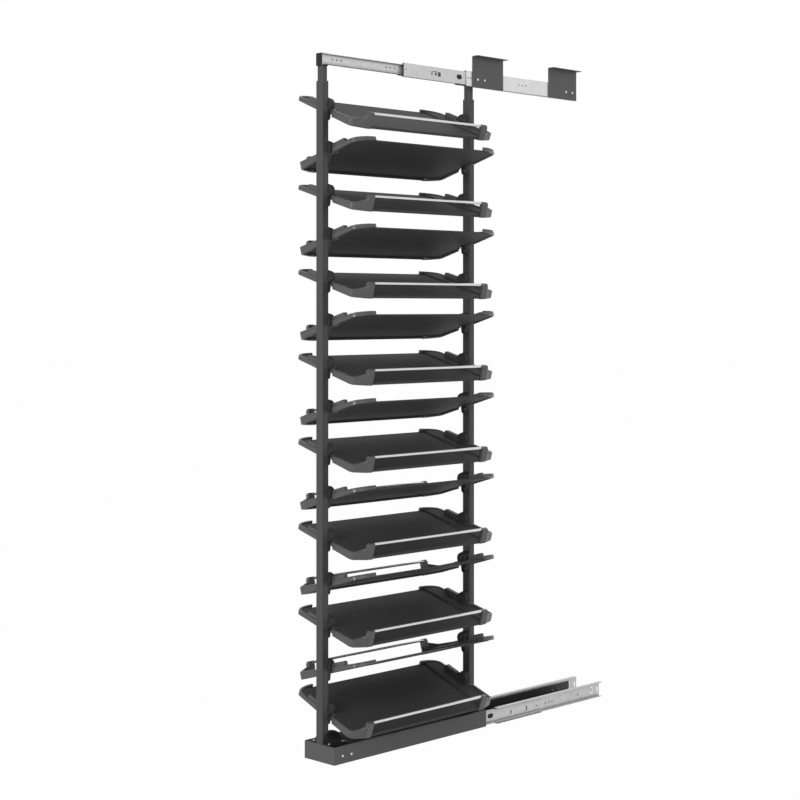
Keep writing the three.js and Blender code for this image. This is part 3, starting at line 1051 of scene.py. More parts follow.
@dataclass
class BallSlide:
    """One ball slide: three members, two cages, their balls and the small black stops."""

    wardrobe: Wardrobe
    prefix: str
    bodies: SlideBodies
    opens: int
    steel: Coat = Coat.ZINC
    inner_steel: Coat = Coat.INNER_ZINC
    on_floor: bool = False
    hole_rise: float = 0
    sheet: float = 1.0
    bend: float = 2.2
    lip: float = 1.4
    race_from_cabinet: float = 6.0
    race_half: float = 1.8
    race_slope: float = 0.9
    race_sheet: float = 0.8
    race_bend: float = 0.9
    middle_race_drop: float = 1.6
    rack_race_drop: float = 2.8
    rack_inset: float = 1.2
    hole_radius: float = 2.5
    # The radius of the dark plates that paint the shade seen through the screw holes.
    hole_shade_radius: float = 3.4
    triple_pitches: tuple[float, ...] = (0, 16, 32.5)
    cabinet_holes: tuple[float, ...] = (7, 18.5, 394)
    cabinet_triple: float = 235
    end_slot: Point = (488, 493.5)
    catch_centre: float = 463.7
    catch_ring: tuple[Point, Point] = ((21, 12), (15, 6))
    press_tabs: tuple[Point, ...] = ((366, 6.2), (436, 7.5))
    # The radius of the dark discs that paint the shade seen through the press tabs.
    press_tab_shade_radius: float = 9.5
    middle_end_holes: tuple[Point, ...] = ((10, 2.2), (486, 2.5))
    lever_centre: float = 132
    rack_triples: Point = (37, 242.3)
    rack_end_hole: float = 470
    outer_ball: float = 1.55
    inner_ball: float = 1.25
    ball_pitch: float = 13.0
    cage_sheet: float = 0.45
    cage_bend: float = 1.2
    cage_end: float = 12
    proud: float = 0.25

    def __post_init__(self) -> None:
        """Reads the boxes of the slide's nodes."""
        self.cabinet = Span.of(f"{self.prefix}_cabinet_member")
        self.middle = Span.of(f"{self.prefix}_middle_member")
        self.rack = Span.of(f"{self.prefix}_rack_member")
        self.axis = self.cabinet.middle[2]
        self.hole_line = self.axis + self.hole_rise

    def web(self, span: Span, back: bool = False) -> float:
        """Gives the outer face of a member's web, on the cabinet's side or on the rack's."""
        return span.y0 if (self.opens > 0) != back else span.y1

    def run(self, name: str, section: Outline, span: Span, web: float, opens: int) -> Piece:
        """Runs a section of sheet along a member's length."""
        placed = [(web + opens * a, self.axis + b) for a, b in section]
        return prism(name, placed, span.x0, span.x1, Run.X)

    def cabinet_section(self) -> Outline:
        """A channel with round bends and lips that turn in.

        Returns:
            The closed section.
        """
        half, tip = self.cabinet.half_height, self.cabinet.depth
        path = mirrored([(0, half), (tip, half), (tip, half - self.sheet - self.lip)])
        return thickened(filleted(path, self.bend, closed=False), self.sheet)

    def race_section(self, half: float, race: float, inner: float, tip: float) -> Outline:
        """A channel whose flanges carry a pressed ball race.

        Args:
            half: Half of the channel's height.
            race: The race's distance from the web.
            inner: The race's own half height.
            tip: The flanges' length.

        Returns:
            The closed section.
        """
        wide, narrow = self.race_half, self.race_half - self.race_slope
        upper = [(0, half), (race - wide, half), (race - narrow, inner), (race + narrow, inner)]
        if tip > race + wide + 0.1:
            upper += [(race + wide, half), (tip, half)]
        else:
            upper[-1] = (tip, inner)
        return thickened(filleted(mirrored(upper), self.race_bend, 3, closed=False), self.race_sheet)

    def through(self, outline: Outline, web: float, reach: float = 3) -> Piece:
        """Makes the tool that punches an outline, given as X and height, through a web."""
        return prism("punch", [(z, x) for x, z in outline], web - reach, web + reach, Run.Y)

    def hole(self, x: float, radius: float = 0) -> Outline:
        """A small round hole on the hole line."""
        return disc((x, self.hole_line), radius or self.hole_radius, 16)

    def window(self, span: Span, x: Point, z: Point, corner: float) -> Outline:
        """A window with round corners, from a member's end and from the slide's axis."""
        box = rectangle((span.x0 + x[0], span.x0 + x[1]), (self.axis + z[0], self.axis + z[1]))
        return filleted(box, corner)

    def crescent(self, x: float, size: float) -> Outline:
        """A pressed tab's opening, whose back is round."""
        back = arc((x, self.hole_line), (size, size), -80, 80, 10)
        return back + arc((x - size * 0.45, self.hole_line), (size * 0.75, size * 0.8), 75, -75, 10)

    def triple(self, x: float) -> list[float]:
        """Where three small screw holes in a row are."""
        return [x + pitch for pitch in self.triple_pitches]

    def backing(self, name: str, outlines: list[Outline], face: float, way: int, body: str) -> None:
        """Sets thin dark plates behind openings in a web; behind the screw holes and press tabs they paint
        the shade seen through the openings.

        Args:
            name: The piece's name.
            outlines: The plates' outlines, as X and height.
            face: The web's far face.
            way: Which way is behind the web.
            body: The body that carries the plates.
        """
        faces = (face + way * 0.03, face + way * 0.3)
        plates = [prism("plate", [(z, x) for x, z in outline], *faces, Run.Y) for outline in outlines]
        self.wardrobe.dress(shade(merged(name, plates)), Coat.CAGE, body)

    def boss(self, label: str, outline: Outline, coat: Coat) -> None:
        """Raises a low boss with soft sides on the middle member's dressed face.

        Args:
            label: The end of the boss's name.
            outline: The boss's foot, as X and height.
            coat: Its finish.
        """
        face, way = self.web(self.middle), -self.opens
        if self.on_floor:
            face, way = face + self.opens * self.race_sheet, self.opens
        centre = sum((Vector(point) for point in outline), Vector((0, 0))) / len(outline)
        rings = []
        for shrink, rise in ((0, -0.2), (0, self.proud * 0.3), (0.8, self.proud)):
            arms = [Vector(point) - centre for point in outline]
            spots = [centre + arm * (1 - shrink / arm.length) for arm in arms]
            rings.append([Vector((spot.x, face + way * rise, spot.y)) for spot in spots])
        piece = shade(skin(f"{self.prefix}_{label}", rings), 60)
        self.wardrobe.dress(piece, coat, self.bodies.middle)

    def build(self) -> None:
        """Builds the whole slide."""
        self.build_cabinet_member()
        self.build_middle_member()
        self.build_rack_member()
        self.build_cage("outer_cage", self.bodies.outer_cage, self.outer_ball)
        self.build_cage("inner_cage", self.bodies.inner_cage, self.inner_ball)
        self.build_stops()

    def build_cabinet_member(self) -> None:
        """Builds the member on the cabinet's side, with the ring of its catch."""
        node = f"{self.prefix}_cabinet_member"
        span, web = self.cabinet, self.web(self.cabinet)
        piece = self.run(f"{node}_sheet", self.cabinet_section(), span, web, self.opens)
        places = (*self.cabinet_holes, *self.triple(self.cabinet_triple))
        openings = [self.hole(span.x0 + x) for x in places]
        openings.append(self.window(span, self.end_slot, (-8, 8), 2.5))
        centre = span.x0 + self.catch_centre
        ring, core = (
            self.through([(x, z) for z, x in slot_outline((self.axis, centre), *size)], web, reach)
            for size, reach in zip(self.catch_ring, (3, 4))
        )
        bridge = rectangle((centre - 13, centre + 13), (self.axis - 1.5, self.axis + 1.5))
        cut(cut(ring, [core]), [self.through(bridge, web, 5)])
        cut(piece, [*(self.through(outline, web) for outline in openings), ring])
        self.wardrobe.dress(shade(piece), self.steel, self.bodies.cabinet, node)
        if not self.on_floor:
            # Dark plates behind the screw holes paint the shade seen through them.
            plates = [self.hole(span.x0 + x, self.hole_shade_radius) for x in self.triple(self.cabinet_triple)]
            face = web + self.opens * self.sheet
            self.backing(f"{node}_hole_shade_plates", plates, face, self.opens, self.bodies.cabinet)

    def build_middle_member(self) -> None:
        """Builds the member that runs between the other two."""
        node, body = f"{self.prefix}_middle_member", self.bodies.middle
        span, web, half = self.middle, self.web(self.middle), self.middle.half_height
        race = self.race_from_cabinet - abs(web - self.web(self.cabinet))
        section = self.race_section(half, race, half - self.middle_race_drop, span.depth)
        piece = self.run(f"{node}_sheet", section, span, web, self.opens)
        if self.on_floor:
            openings = [self.crescent(span.x0 + x, size) for x, size in self.press_tabs]
        else:
            openings = [
                self.window(span, (114, 118), (-6, 6), 1.5),
                self.window(span, (141, 153), (-7, 6), 2.5),
                self.window(span, (119.5, 139.5), (4.5, 7), 1),
            ]
        openings += [self.hole(span.x0 + x, radius) for x, radius in self.middle_end_holes]
        cut(piece, [self.through(outline, web) for outline in openings])
        self.wardrobe.dress(shade(piece), self.inner_steel, body, node)
        if self.on_floor:
            # Dark discs behind the press tabs paint the shade seen through them.
            radius = self.press_tab_shade_radius
            plates = [disc((span.x0 + x, self.hole_line), radius) for x, _ in self.press_tabs]
            self.backing(f"{node}_press_tab_shade", plates, web, -self.opens, body)
        else:
            plate = self.window(span, (112, 155), (-8, 8), 2)
            self.backing(f"{node}_lever_plate", [plate], web + self.opens * self.race_sheet, self.opens, body)
            lever = slot_outline((span.x0 + self.lever_centre, self.axis - 1), 9, 7)
            self.boss("middle_lever", lever, Coat.CAGE)

    def build_rack_member(self) -> None:
        """Builds the member on the rack's side, which faces the other two."""
        node = f"{self.prefix}_rack_member"
        span, web, half = self.rack, self.web(self.rack, back=True), self.rack.half_height
        race = abs(web - self.web(self.cabinet)) - self.race_from_cabinet
        section = self.race_section(half - self.rack_inset, race, half - self.rack_race_drop, span.depth)
        piece = self.run(f"{node}_sheet", section, span, web, -self.opens)
        places = [span.x0 + x for start in self.rack_triples for x in self.triple(start)]
        holes = [self.hole(x) for x in (*places, span.x0 + self.rack_end_hole)]
        cut(piece, [self.through(outline, web) for outline in holes])
        self.wardrobe.dress(shade(piece), self.inner_steel, self.bodies.rack, node)
        if not self.on_floor:
            # Dark plates behind the screw holes paint the shade seen through them.
            plates = [self.hole(x, self.hole_shade_radius) for x in places]
            self.backing(f"{node}_hole_shade_plates", plates, web, self.opens, self.bodies.rack)

    def build_cage(self, label: str, body: str, radius: float) -> None:
        """Builds a ball cage and its balls.

        Args:
            label: Which cage.
            body: The body that carries it.
            radius: The balls' radius.
        """
        node = f"{self.prefix}_{label}"
        span = Span.of(node)
        strip = span.half_height - radius
        path = filleted(mirrored([(0, strip), (span.depth - 1.2, strip)]), self.cage_bend, 3, closed=False)
        web, length = self.web(span), span.x1 - span.x0
        piece = self.run(f"{node}_strip", thickened(path, self.cage_sheet), span, web, self.opens)
        tall = strip * 0.55
        window = self.window(span, (self.cage_end, length - self.cage_end), (-tall, tall), 3)
        cut(piece, [self.through(window, web)])
        self.wardrobe.dress(shade(piece), Coat.CAGE, body, node)
        line = self.web(self.cabinet) + self.opens * self.race_from_cabinet
        count = int((length - 8) / self.ball_pitch)
        shape = bmesh.new()
        for index in range(count):
            x = span.middle[0] + (index - (count - 1) / 2) * self.ball_pitch
            for side in (-1, 1):
                place = shifted(x, line, self.axis + side * strip)
                bmesh.ops.create_icosphere(shape, subdivisions=2, radius=radius * METRES, matrix=place)
        balls = new_piece(f"{node}_balls", shape)
        balls.data.shade_smooth()
        self.wardrobe.dress(balls, Coat.SCREW, body)

    def stop(self, label: str, deep: Point, tall: Point, ends: Point, body: str) -> None:
        """Builds a black plastic stop under a member, or a dark strip there that paints a shadow.

        Args:
            label: The end of its name.
            deep: Its two distances from the cabinet member's web.
            tall: Its two heights from the axis.
            ends: Its first and last X.
            body: The body that carries it.
        """
        web = self.web(self.cabinet)
        across = (web + self.opens * deep[0], web + self.opens * deep[1])
        outline = filleted(rectangle(across, (self.axis + tall[0], self.axis + tall[1])), 0.5, 2)
        piece = prism(f"{self.prefix}_{label}", outline, *ends, Run.X)
        self.wardrobe.dress(soften(piece, 0.3), Coat.BLACK, body)

    def build_stops(self) -> None:
        """Builds the bumper on the middle member, the stops under the members and, on the floor slides, a
        strip of painted shadow.
        """
        front, start, body = self.middle.x0, self.cabinet.x0, self.bodies.middle
        place, length, height = (276, 25, 13.5) if self.on_floor else (231.5, 22, 14)
        self.boss("bumper", slot_outline((front + place, self.axis + 1), length, height), Coat.BLACK)
        self.stop("front_stop", (4, 9.5), (-17.8, -15.9), (front - 18, front + 4), body)
        if self.on_floor:
            # A dark strip under the cabinet member paints the shadow along the slide's foot.
            ends = (start + 2, self.middle.x1)
            self.stop("shadow_strip", (0.6, 12.2), (-24.6, -22.7), ends, self.bodies.cabinet)
        else:
            self.stop("front_guard", (1.7, 3.9), (-18.9, 18.9), (front - 2, front + 0.4), body)
            self.stop("latch", (1.4, 9.8), (-22.6, -20.2), (start - 40, start + 6), self.bodies.cabinet)


# Fixed pieces


@dataclass
class FloorChannel:
    """The channel on the cabinet floor, with its screws."""

    wardrobe: Wardrobe
    screws: Screws
    sheet: float = 1.5
    bend: float = 2.6
    hole_radius: float = 2.7
    hole_edge: float = 45
    hole_spread: float = 50
    wall_hole_radius: float = 2.2
    wall_hole_height: float = 25
    wall_holes: Point = (-79, 60)
    wall_screws: Point = (80.5, 53.5)
    wall_screw_height: float = 23.5

    def build(self) -> None:
        """Builds the channel and sets its screws."""
        span = Span.of("floor_channel")
        half = span.depth / 2
        path = [(half, span.z1), (half, 0), (-half, 0), (-half, span.z1)]
        section = thickened(filleted(path, self.bend, closed=False), self.sheet)
        piece = prism("floor_channel_sheet", section, span.x0, span.x1, Run.X)
        edge, spread = span.x1 - self.hole_edge, self.hole_spread / 2
        corners = [(end * edge, side * spread) for end in (-1, 1) for side in (-1, 1)]
        tools = [bar("hole", corner, self.hole_radius, (-2, 4), Run.Z) for corner in corners]
        for x in (span.x1 + self.wall_holes[0], span.x0 + self.wall_holes[1]):
            ends = (-half - 2, -half + 4)
            tools.append(bar("hole", (self.wall_hole_height, x), self.wall_hole_radius, ends, Run.Y, 16))
        soften(cut(piece, tools), 0.25, 1)
        self.wardrobe.dress(piece, Coat.CHANNEL, "cabinet_side", "floor_channel")
        for number, (x, y) in enumerate(corners, 1):
            self.screws.place(f"floor_screw_{number}", shifted(x, y, self.sheet + 0.1), "cabinet_side")
        for number, back in enumerate(self.wall_screws, 1):
            for side, face, wall in ((1, FACE_NEAR, "far"), (-1, FACE_FAR, "near")):
                place = shifted(span.x1 - back, side * (half - self.sheet), self.wall_screw_height) @ face
                self.screws.place(f"wall_screw_{number}_{wall}", place, "cabinet_side")


@dataclass
class CeilingBracket:
    """One angle bracket between the top slide and the cabinet's ceiling."""

    wardrobe: Wardrobe
    screws: Screws
    node: str
    screwed: tuple[int, ...]
    sheet: float = 2.0
    bend: float = 3.2
    hole_radius: float = 2.6
    plate_holes: tuple[float, ...] = (23, 53, 85, 116)
    flange_holes: tuple[float, ...] = (34, 64, 94)

    def build(self, axis: float) -> None:
        """Builds the bracket and its screws.

        Args:
            axis: The top slide's height.
        """
        span = Span.of(self.node)
        path = [(span.y0, span.z1), (span.y1, span.z1), (span.y1, span.z0)]
        section = thickened(filleted(path, self.bend, closed=False), self.sheet)
        piece = prism(f"{self.node}_sheet", section, span.x0, span.x1, Run.X)
        line = span.y0 + (span.depth - self.sheet) / 2
        spots = [((axis, span.x0 + x), span.y1, Run.Y) for x in self.plate_holes]
        spots += [((span.x0 + x, line), span.z1, Run.Z) for x in self.flange_holes]
        holes = [
            bar("hole", centre, self.hole_radius, (face - 5, face + 3), run, 20)
            for centre, face, run in spots
        ]
        soften(cut(piece, holes), 0.3, 1)
        self.wardrobe.dress(piece, Coat.PLATE, "ceiling_side", self.node)
        for index in self.screwed:
            place = shifted(span.x0 + self.plate_holes[index], span.y1 - self.sheet, axis) @ FACE_NEAR
            self.screws.place(f"{self.node}_screw_{index + 1}", place, "ceiling_side")


# The rack's frame


@dataclass
class BaseHousing:
    """The long box under the posts."""

    wardrobe: Wardrobe
    screws: Screws
    sheet: float = 1.5
    bend: float = 2.2
    trim: float = 2.4
    seam: Point = (3.0, 3.35)
    seam_depth: float = 0.25
    seam_stop: float = 3
    film_rise: float = 0.2
    film_corner: float = 3
    side_screws: Point = (31, 63.8)
    screw_height: float = 23

    def build(self) -> None:
        """Builds the housing and its side screws."""
        span = Span.of("base_housing")
        x, y, z = (span.x0, span.x1), (span.y0, span.y1), (span.z0, span.z1)
        shell = soften(block("base_housing_sheet", x, y, z), self.bend, 4)
        past_x, past_y, past_z = ((low - OVERRUN, high + OVERRUN) for low, high in (x, y, z))
        hollow_y = (span.y0 + self.sheet, span.y1 - self.sheet)
        hollow = (span.x0 + self.sheet, past_x[1]), hollow_y, (past_z[0], span.z1 - self.sheet)
        end = (span.x1 - self.trim, past_x[1]), past_y, past_z
        foot = past_x, past_y, (past_z[0], span.z0 + self.trim)
        for room in (hollow, end, foot):
            cut(shell, [block("room", *room)])
        self.stretch(shell, span)
        seam_x = (span.x0 + self.seam[0], span.x0 + self.seam[1])
        seam_z = (span.z0 - 1, span.z1 - self.seam_stop)
        deep = self.seam_depth
        shade(cut(shell, [block("seam", seam_x, (side - deep, side + deep), seam_z) for side in y]))
        self.wardrobe.dress(shell, Coat.BASE, "rack", "base_housing")
        plan = rectangle((span.x0 + self.bend, span.x1 - 0.5), (span.y0 + self.bend, span.y1 - self.bend))
        heights = (span.z1 - 0.1, span.z1 + self.film_rise)
        film = prism("base_top_film", filleted(plan, self.film_corner), *heights, Run.Z)
        self.wardrobe.dress(shade(film), Coat.FILM, "rack")
        for side, face, wall in (("near", FACE_NEAR, span.y0), ("far", FACE_FAR, span.y1)):
            for number, along in enumerate(self.side_screws, 1):
                place = shifted(span.x0 + along, wall, self.screw_height) @ face
                self.screws.place(f"base_{side}_screw_{number}", place, "rack")

    def stretch(self, shell: Piece, span: Span) -> None:
        """Draws the trimmed end and foot back out to the housing's full size.

        Args:
            shell: The housing's shell.
            span: The housing's box.
        """
        reach = self.trim + 0.1
        for vertex in shell.data.vertices:
            if vertex.co.x > (span.x1 - reach) * METRES:
                vertex.co.x = span.x1 * METRES
            if vertex.co.z < (span.z0 + reach) * METRES:
                vertex.co.z = span.z0 * METRES


@dataclass
class HubBracket:
    """The bracket in which a tray's hub wheel turns, about its pivot and with +X to the trays."""

    thickness: float = 10
    head_radius: float = 20
    flute_depth: float = 0.7
    head_turn: Point = (-52, 232)
    foot_drop: float = 42
    foot_half: float = 9
    foot_cut: float = 4
    bore: float = 5.3
    bore_floor: float = 0.4
    ring: Point = (9.5, 16.6)
    ring_depth: float = 1.4
    pocket_drop: float = 31
    pocket_radius: float = 5.2
    pocket_floor: float = 3.5

    def build(self) -> Piece:
        """Builds the bracket.

        Returns:
            The bracket.
        """
        half, drop, slant = self.foot_half, self.foot_drop, self.foot_cut
        foot = [(-half, slant - drop), (slant - half, -drop), (half - slant, -drop), (half, slant - drop)]
        head = fluted(self.head_radius, self.flute_depth, 36, *self.head_turn)
        piece = soften(prism("hub_bracket", head + foot, 0, self.thickness, Run.X), 0.5)
        top = self.thickness + 2
        ring = bar("ring", (0, 0), self.ring[1], (self.thickness - self.ring_depth, top), Run.X, 41)
        tools = [
            bar("bore", (0, 0), self.bore, (self.bore_floor, top), Run.X, 20),
            bar("pocket", (0, -self.pocket_drop), self.pocket_radius, (self.pocket_floor, top), Run.X, 20),
            cut(ring, [bar("core", (0, 0), self.ring[0], (0, top + 2), Run.X, 32)]),
        ]
        return shade(cut(piece, tools), 40)


@dataclass
class Post:
    """One telescopic post: outer tube, hub brackets, inner tube, cap and foot."""

    wardrobe: Wardrobe
    screws: Screws
    label: str
    outward: int
    pivots: list[float]
    hub: HubBracket
    brackets: Pattern
    wall: float = 2.0
    corner: float = 0.9
    groove_inset: float = 1.6
    groove_width: float = 1.5
    groove_depth: float = 1.0
    groove_taper: float = 0.2
    inner_wall: float = 1.5
    clamp_drop: float = 14
    notch_depth: float = 0.8
    notch_width: float = 1.2
    plate_sheet: float = 3
    dome: tuple[Point, ...] = ((0.17, 1.0), (0.62, 1.0), (0.74, 0.97), (0.84, 0.9), (0.92, 0.78), (0.97, 0.6))
    gap: float = 0.3

    def __post_init__(self) -> None:
        """Reads the post's boxes."""
        self.outer = Span.of(f"{self.label}_outer_post")
        self.inner = Span.of(f"{self.label}_inner_post")
        self.cap = Span.of(f"{self.label}_post_cap")
        self.foot = Span.of(f"{self.label}_post_foot")
        face = self.outer.x1 if self.outward > 0 else self.outer.x0
        self.half_y = self.cap.y1
        self.centre = self.inner.middle[0]
        self.half_x = abs(face - self.centre)
        self.inward_face = self.centre - self.outward * self.half_x

    def build(self) -> None:
        """Builds the whole post."""
        self.build_outer_tube()
        self.build_hub_brackets()
        self.build_inner_tube()
        self.build_cap()
        self.build_foot()

    def tube(self, name: str, outline: Outline, inside: Outline, span: Span) -> Piece:
        """Makes an upright tube from an outer and an inner outline."""
        piece = prism(f"{self.label}_{name}", outline, span.z0, span.z1, Run.Z)
        return cut(piece, [prism("bore", inside, span.z0 - OVERRUN, span.z1 + OVERRUN, Run.Z)])

    def build_outer_tube(self) -> None:
        """Builds the grooved outer tube."""
        x, half_x, half_y, corner = self.centre, self.half_x, self.half_y, self.corner
        far = half_x - self.groove_inset
        near, floor, taper = far - self.groove_width, half_y - self.groove_depth, self.groove_taper
        quarter = arc((half_x - corner, half_y - corner), (corner, corner), 0, 90, 4)
        quarter += [(far, half_y), (far - taper, floor), (near + taper, floor), (near, half_y)]
        upper = quarter + [(-a, b) for a, b in reversed(quarter)]
        outline = [(x + a, b) for a, b in upper + [(-a, -b) for a, b in upper]]
        inner_x, inner_y = half_x - self.wall, half_y - self.wall
        cavity = filleted(rectangle((x - inner_x, x + inner_x), (-inner_y, inner_y)), 0.8, 2)
        piece = shade(self.tube("outer_tube", outline, cavity, self.outer), 20)
        self.wardrobe.dress(piece, Coat.GREY, "rack", f"{self.label}_outer_post")

    def build_hub_brackets(self) -> None:
        """Sets a bracket and its screw at each tray's pivot."""
        turn = turned(180 if self.outward > 0 else 0, "Z")
        spot = shifted(self.hub.pocket_floor + 0.1, 0, -self.hub.pocket_drop) @ turned(90, "Y")
        for number, height in enumerate(self.pivots, 1):
            place = shifted(self.inward_face, 0, height) @ turn
            piece = self.brackets.set(f"{self.label}_hub_bracket_{number:02d}", place)
            self.wardrobe.dress(piece, Coat.HUB, "rack", slot="grey_paint")
            self.screws.place(f"{self.label}_hub_screw_{number:02d}", place @ spot, "rack")

    def build_inner_tube(self) -> None:
        """Builds the inner tube, which slides in the outer one, and the clamp screw on the far side."""
        outline = filleted(self.inner.plan(), 1.6, 4)
        inside = filleted(self.inner.plan(self.inner_wall), 0.6, 2)
        piece = shade(self.tube("inner_tube", outline, inside, self.inner))
        self.wardrobe.dress(piece, Coat.GREY, "rack_top", f"{self.label}_inner_post")
        place = shifted(self.centre, self.half_y, self.outer.z1 - self.clamp_drop) @ FACE_FAR
        self.screws.place(f"{self.label}_clamp_screw", place, "rack")

    def build_cap(self) -> None:
        """Builds the black cap, notched on its near side."""
        span, bottom = self.cap, self.inner.z1 + self.gap
        cap = prism(f"{self.label}_cap_block", filleted(span.plan(), 2, 3), bottom, span.z1, Run.Z)
        soften(cap, 0.6)
        across, deep = (span.x0 - 2, span.x1 + 2), (span.y0 - 2, span.y0 + self.notch_depth)
        heights = (self.inner.z1 + 5, span.z1 - 6)
        shade(cut(cap, [block("notch", across, deep, (z, z + self.notch_width)) for z in heights]))
        self.wardrobe.dress(cap, Coat.BLACK, "rack_top", f"{self.label}_post_cap")
        self.screws.place(f"{self.label}_cap_screw", shifted(span.middle[0], 0, span.z1 - 1.8), "rack_top")

    def build_foot(self) -> None:
        """Builds the foot: a flange plate and a domed socket behind the post."""
        span, inward = self.foot, -self.outward
        outer = span.x0 if inward > 0 else span.x1
        radius, length, top = span.z1 - span.z0, span.x1 - span.x0, span.z0 + self.plate_sheet
        plate = prism(f"{self.label}_foot_plate", filleted(span.plan(), 6, 5), span.z0, top, Run.Z)
        rings = []
        for share, scale in self.dome:
            half = arc((0, span.z0), (radius * (0.35 + 0.65 * scale), radius * scale), 0, 180, 20)
            rings.append([Vector((outer + inward * length * share, y, z)) for y, z in half])
        combine(plate, [skin("dome", rings)], Join.ADD)
        hole_x = (outer - inward * OVERRUN, self.inward_face + inward * self.gap)
        half_y = self.half_y + self.gap
        cut(plate, [block("socket", hole_x, (-half_y, half_y), (span.z0 - OVERRUN, span.z1 + OVERRUN))])
        self.wardrobe.dress(shade(plate), Coat.BLACK, "rack", f"{self.label}_post_foot")
        spots = ((9, 30), (9, -30), (length - 12, 29), (length - 12, -29))
        for number, (along, y) in enumerate(spots, 1):
            place = shifted(outer + inward * along, y, top)
            self.screws.place(f"{self.label}_foot_screw_{number}", place, "rack")


# Trays


@dataclass(frozen=True)
class TrayPlace:
    """Where a tray hangs, from the joint that tilts it."""

    number: int
    pivot: Vector
    tilt: float
    low_near: bool

    @staticmethod
    def read(joints: list[dict]) -> list[TrayPlace]:
        """Reads the trays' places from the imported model's joints, from the top down.

        Args:
            joints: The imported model's joints.

        Returns:
            The places, from the top down.
        """
        places = []
        for joint in joints:
            if joint["name"].endswith("_tilt"):
                low, high = (abs(end) for end in joint["range_deg"])
                number = int(joint["name"].split("_")[1])
                places.append(TrayPlace(number, Vector(joint["pos_m"]), max(low, high) / 2, low > high))
        return sorted(places, key=lambda place: place.number)

    @property
    def matrix(self) -> Matrix:
        """The tray's own frame: its pivot, its tilt and the side that it faces."""
        lean = turned(self.tilt if self.low_near else -self.tilt, "X")
        return Matrix.Translation(self.pivot) @ lean @ turned(0 if self.low_near else 180, "Z")

    @property
    def label(self) -> str:
        """The tray's number, in two figures."""
        return f"{self.number:02d}"

    def local_box(self, node: str, frame: dict) -> Span:
        """Gives a node's box in the tray's own frame.

        Args:
            node: The node's name without its number.
            frame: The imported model.

        Returns:
            The box.
        """
        back = self.matrix.inverted()
        points = [back @ vertex.co for vertex in frame["nodes"][f"{node}_{self.label}"].data.vertices]
        ends = [pick(point[axis] for point in points) for pick in (min, max) for axis in range(3)]
        return Span(*(end / METRES for end in ends))


